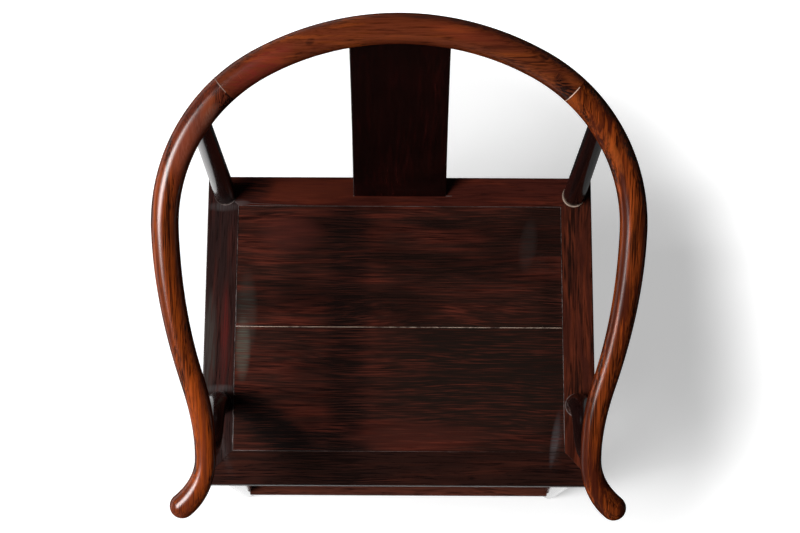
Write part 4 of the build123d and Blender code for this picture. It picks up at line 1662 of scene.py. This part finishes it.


# The finishes, with wear, and with painted shadows, shade and sheen where the photograph has them

# DARK is near-black, for dark marks in the wood and for painted shadows; the second colour is
# painted shade along the outer edge of the right arm.
DARK, EDGE_SHADE = (0.006, 0.0025, 0.002), (0.022, 0.013, 0.0095)
# Pale grey streak on the right front of the seat and its front rail: a smear in the polish, with
# painted sheen.
SMEAR_AND_SHEEN = Patch((0.2375, -0.188), (0.007, 0.05), 0.22, (0.2, 0.19, 0.2), -9.5)
SEAT_WAX = {
    "bright": Residue("wax_bright", (0.42, 0.31, 0.24), 0.42),
    "dull": Residue("wax_dull", (0.2, 0.15, 0.14), 0.5),
    "faint": Residue("wax_faint", (0.09, 0.06, 0.055), 0.5),
}
LAP_WAX = {
    Side.LEFT: Residue("wax_left_lap", (0.3, 0.19, 0.15), 0.47),
    Side.RIGHT: Residue("wax_right_lap", (0.75, 0.52, 0.4), 0.36),
}
# Painted shade along the outer edge of the back of the rail, darkest on the right.
OUTER_SHADE_BAND = tuple(
    Patch(center, (0.046, 0.0095), strength, (0.03, 0.014, 0.01), turn)
    for center, strength, turn in (
        ((0.031, 0.31), 0.45, -4.0),
        ((0.093, 0.301), 0.65, -12.5),
        ((0.152, 0.283), 0.85, -21.0),
        ((0.208, 0.256), 0.9, -31.0),
        ((-0.093, 0.301), 0.3, 12.5),
        ((-0.208, 0.256), 0.45, 31.0),
    )
)
RAIL_WOOD = Rosewood(
    "rosewood_rail", (0.135, 0.027, 0.0095), (0.3, 0.063, 0.012), (0.025, 0.006, 0.003),
    glow_to=0.62, vein_from=0.53, vein_to=0.65, vein_width=0.007, lines=0.5, shine=0.0, coat=0.9,
    coat_roughness=0.2, rim=1.0, clouds=0.35,
    patches=(
        *OUTER_SHADE_BAND,
        Patch((0.09, 0.285), (0.07, 0.012), 0.4, (0.2, 0.028, 0.014), -12.0),
        Patch((0.212, 0.2235), (0.024, 0.011), 1.0, DARK, -50.0),
        Patch((0.2, 0.215), (0.02, 0.007), 0.9, DARK, -45.0),
        Patch((0.17, 0.25), (0.12, 0.05), 0.4, (0.035, 0.009, 0.005), -35.0),
        Patch((-0.115, 0.275), (0.008, 0.005), 0.7, DARK, 20.0),
        # Painted faint sheen on the left shoulder.
        Patch((-0.195, 0.245), (0.03, 0.006), 0.35, (0.05, 0.035, 0.028), 30.0),
        Patch((-0.18, 0.245), (0.06, 0.02), 0.55, (0.19, 0.022, 0.015), 32.0),
    ),
)
ARM_WOODS = {
    Side.LEFT: replace(
        RAIL_WOOD, name="rosewood_left_arm", ground=(0.15, 0.028, 0.011),
        glow=(0.38, 0.066, 0.007), vein=(0.011, 0.003, 0.002), glow_from=0.38, glow_to=0.56,
        vein_from=0.5, vein_to=0.62, vein_width=0.0042, fade=(0.02, 0.2), clouds=0.4,
        patches=(
            Patch((-0.247, 0.2), (0.024, 0.008), 0.3, (0.35, 0.07, 0.012), 60.0),
            # Painted sheen on the left shoulder.
            Patch((-0.266, 0.16), (0.06, 0.018), 0.42, (0.36, 0.1, 0.06), 58.0),
            Patch((-0.234, 0.222), (0.02, 0.008), 0.75, (0.03, 0.008, 0.006), 45.0),
            Patch((-0.262, 0.2), (0.045, 0.008), 0.6, (0.04, 0.009, 0.006), 50.0),
            Patch((-0.245, 0.165), (0.03, 0.008), 0.55, (0.045, 0.02, 0.013), 60.0),
            # Painted sheen.
            Patch((-0.243, 0.188), (0.02, 0.01), 0.4, (0.2, 0.09, 0.06), 52.0),
            Patch((-0.31, -0.295), (0.05, 0.045), 0.75, (0.07, 0.012, 0.005)),
            Patch((-0.229, 0.196), (0.03, 0.007), 0.9, DARK, 55.0),
        ),
    ),
    Side.RIGHT: replace(
        RAIL_WOOD, name="rosewood_right_arm", ground=(0.07, 0.0125, 0.005),
        glow=(0.34, 0.062, 0.01), vein=(0.009, 0.003, 0.002), glow_from=0.45, glow_to=0.56,
        vein_from=0.49, vein_to=0.6, vein_width=0.0048, lines=0.6, coat=0.4, clouds=0.4,
        patches=(
            Patch((0.223, 0.2095), (0.016, 0.009), 0.7, (0.3, 0.06, 0.01), -50.0),
            # Painted shade along the arm's outer edge.
            Patch((0.265, 0.209), (0.045, 0.012), 0.95, EDGE_SHADE, -47.0),
            Patch((0.298, 0.156), (0.05, 0.011), 0.95, EDGE_SHADE, -66.0),
            Patch((0.279, 0.146), (0.035, 0.006), 0.6, (0.36, 0.075, 0.012), -64.0),
            Patch((0.3205, 0.1), (0.05, 0.009), 0.8, EDGE_SHADE, -78.0),
            Patch((0.33, 0.02), (0.06, 0.009), 0.7, EDGE_SHADE, -94.0),
            Patch((0.322, -0.285), (0.05, 0.02), 0.7, (0.028, 0.006, 0.003), -45.0),
        ),
    ),
}
POST_WOOD = Rosewood(
    "rosewood_post", (0.012, 0.0038, 0.0036), (0.03, 0.007, 0.0055), (0.005, 0.0022, 0.0022),
    rim=0.0,
)
FRONT_LEG_WOOD = replace(
    POST_WOOD, name="rosewood_front_leg", coat=1.0, shine=0.3, roughness=0.3
)
BAR_WOOD = Rosewood(
    "rosewood_bar", (0.105, 0.031, 0.0195), (0.22, 0.055, 0.03), (0.02, 0.006, 0.005), rim=0.8
)
FRAME_WOOD = Rosewood(
    "rosewood_frame", (0.021, 0.0075, 0.0055), (0.06, 0.015, 0.009), (0.006, 0.003, 0.003),
    rim=0.8,
)
MEMBER_WOODS = {
    "front": replace(
        FRAME_WOOD, name="rosewood_front_rail",
        # Painted shadow of the left hand, and the pale streak with painted sheen.
        patches=(Patch((-0.1, -0.235), (0.1, 0.04), 0.75, DARK, -10.0), SMEAR_AND_SHEEN),
    ),
    "rear": Rosewood(
        "rosewood_rear_rail", (0.055, 0.0115, 0.0075), (0.15, 0.026, 0.012),
        (0.012, 0.005, 0.004), lines=0.5,
        patches=(
            Patch((-0.15, 0.2), (0.12, 0.025), 0.6, (0.12, 0.022, 0.01)),
            # Painted shadow beside the rear-left post.
            Patch((-0.225, 0.205), (0.035, 0.03), 0.75, (0.01, 0.005, 0.0045), 30.0),
            Patch((-0.26, 0.178), (0.03, 0.008), 0.35, (0.13, 0.12, 0.12)),
        ),
    ),
    "left": Rosewood(
        "rosewood_left_rail", (0.024, 0.0115, 0.0105), (0.065, 0.016, 0.012),
        (0.008, 0.0045, 0.004),
        patches=(
            # Painted grey sheen along the outer part of the rail.
            Patch((-0.291, -0.045), (0.013, 0.1), 0.5, (0.075, 0.066, 0.058)),
            Patch((-0.268, -0.03), (0.008, 0.1), 0.6, (0.1, 0.014, 0.012)),
            Patch((-0.276, 0.172), (0.03, 0.009), 0.26, (0.12, 0.11, 0.11)),
            Patch((-0.272, -0.114), (0.032, 0.008), 0.3, (0.1, 0.095, 0.095)),
        ),
    ),
    "right": Rosewood(
        "rosewood_right_rail", (0.054, 0.0125, 0.0075), (0.17, 0.034, 0.014),
        (0.01, 0.005, 0.004), glow_from=0.44, glow_to=0.6, vein_from=0.48, vein_to=0.6,
        vein_width=0.009, vein_length=0.09, lines=0.4, clouds=0.6,
    ),
}
PANEL_WOOD = Rosewood(
    "rosewood_panel", (0.0275, 0.0106, 0.0077), (0.15, 0.028, 0.016), (0.005, 0.003, 0.0025),
    vein_from=0.5, vein_width=0.005, vein_length=0.12, lines=0.3, clouds=0.7, threads=0.4,
    patches=(
        # Painted grey sheen at the left edge of the boards.
        Patch((-0.24, -0.052), (0.014, 0.058), 0.34, (0.15, 0.16, 0.125)),
        Patch((-0.236, 0.0), (0.02, 0.08), 0.15, (0.12, 0.12, 0.1)),
        # Painted faint sheen at the rear right.
        Patch((0.2, 0.112), (0.016, 0.05), 0.055, (0.16, 0.15, 0.14), -8.0),
        # Painted shadows of the left arm post and the left hand.
        Patch((-0.19, -0.172), (0.105, 0.034), 1.15, (0.008, 0.0045, 0.004), -38.0),
        Patch((-0.105, -0.2), (0.085, 0.045), 0.85, (0.009, 0.0045, 0.004), -12.0),
        # Painted shadow of the rail's left arm.
        Patch((-0.079, 0.0), (0.042, 0.5), 0.7, (0.0075, 0.0035, 0.003)),
        # Painted shade along the right edge of the boards.
        Patch((0.234, -0.06), (0.024, 0.18), 0.65, DARK),
        SMEAR_AND_SHEEN,
        Patch((-0.17, 0.13), (0.06, 0.035), 0.4, (0.1, 0.022, 0.016)),
        Patch((0.13, -0.09), (0.22, 0.13), 0.95, (0.0125, 0.0072, 0.0054)),
        Patch((0.03, -0.186), (0.13, 0.026), 0.28, (0.11, 0.02, 0.012)),
    ),
)
SPLAT_WOOD = Rosewood(
    "rosewood_splat", (0.0085, 0.0022, 0.0019), (0.028, 0.0042, 0.0035),
    (0.0032, 0.0012, 0.0012), rim=0.0,
)


def main() -> None:
    """Builds the chair and the studio in order."""
    logging.basicConfig(level=logging.INFO, format="%(name)s: %(message)s")
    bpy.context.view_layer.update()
    datum = Datum()
    residues = {shade: wax.make() for shade, wax in SEAT_WAX.items()}
    rail_finish = RAIL_WOOD.make()
    arm_finishes = {side: wood.make() for side, wood in ARM_WOODS.items()}
    bar_finish, frame_finish = BAR_WOOD.make(), FRAME_WOOD.make()
    frame_finishes = {name: wood.make() for name, wood in MEMBER_WOODS.items()}
    panel_finish, splat_finish = PANEL_WOOD.make(), SPLAT_WOOD.make()
    lap_residues = {side: wax.make() for side, wax in LAP_WAX.items()}
    rail = CrestRail(datum, rail_finish, arm_finishes, lap_residues)
    posts = Posts(datum, rail, POST_WOOD.make(), FRONT_LEG_WOOD.make())
    splat = BackSplat(datum, rail, splat_finish)
    rail.build()
    posts.build()
    splat.build()
    Seat(datum, posts, splat, frame_finishes, panel_finish, residues).build()
    Underframe(datum, posts, bar_finish, frame_finish).build()
    Studio().build()


if __name__ == "__main__":
    main()
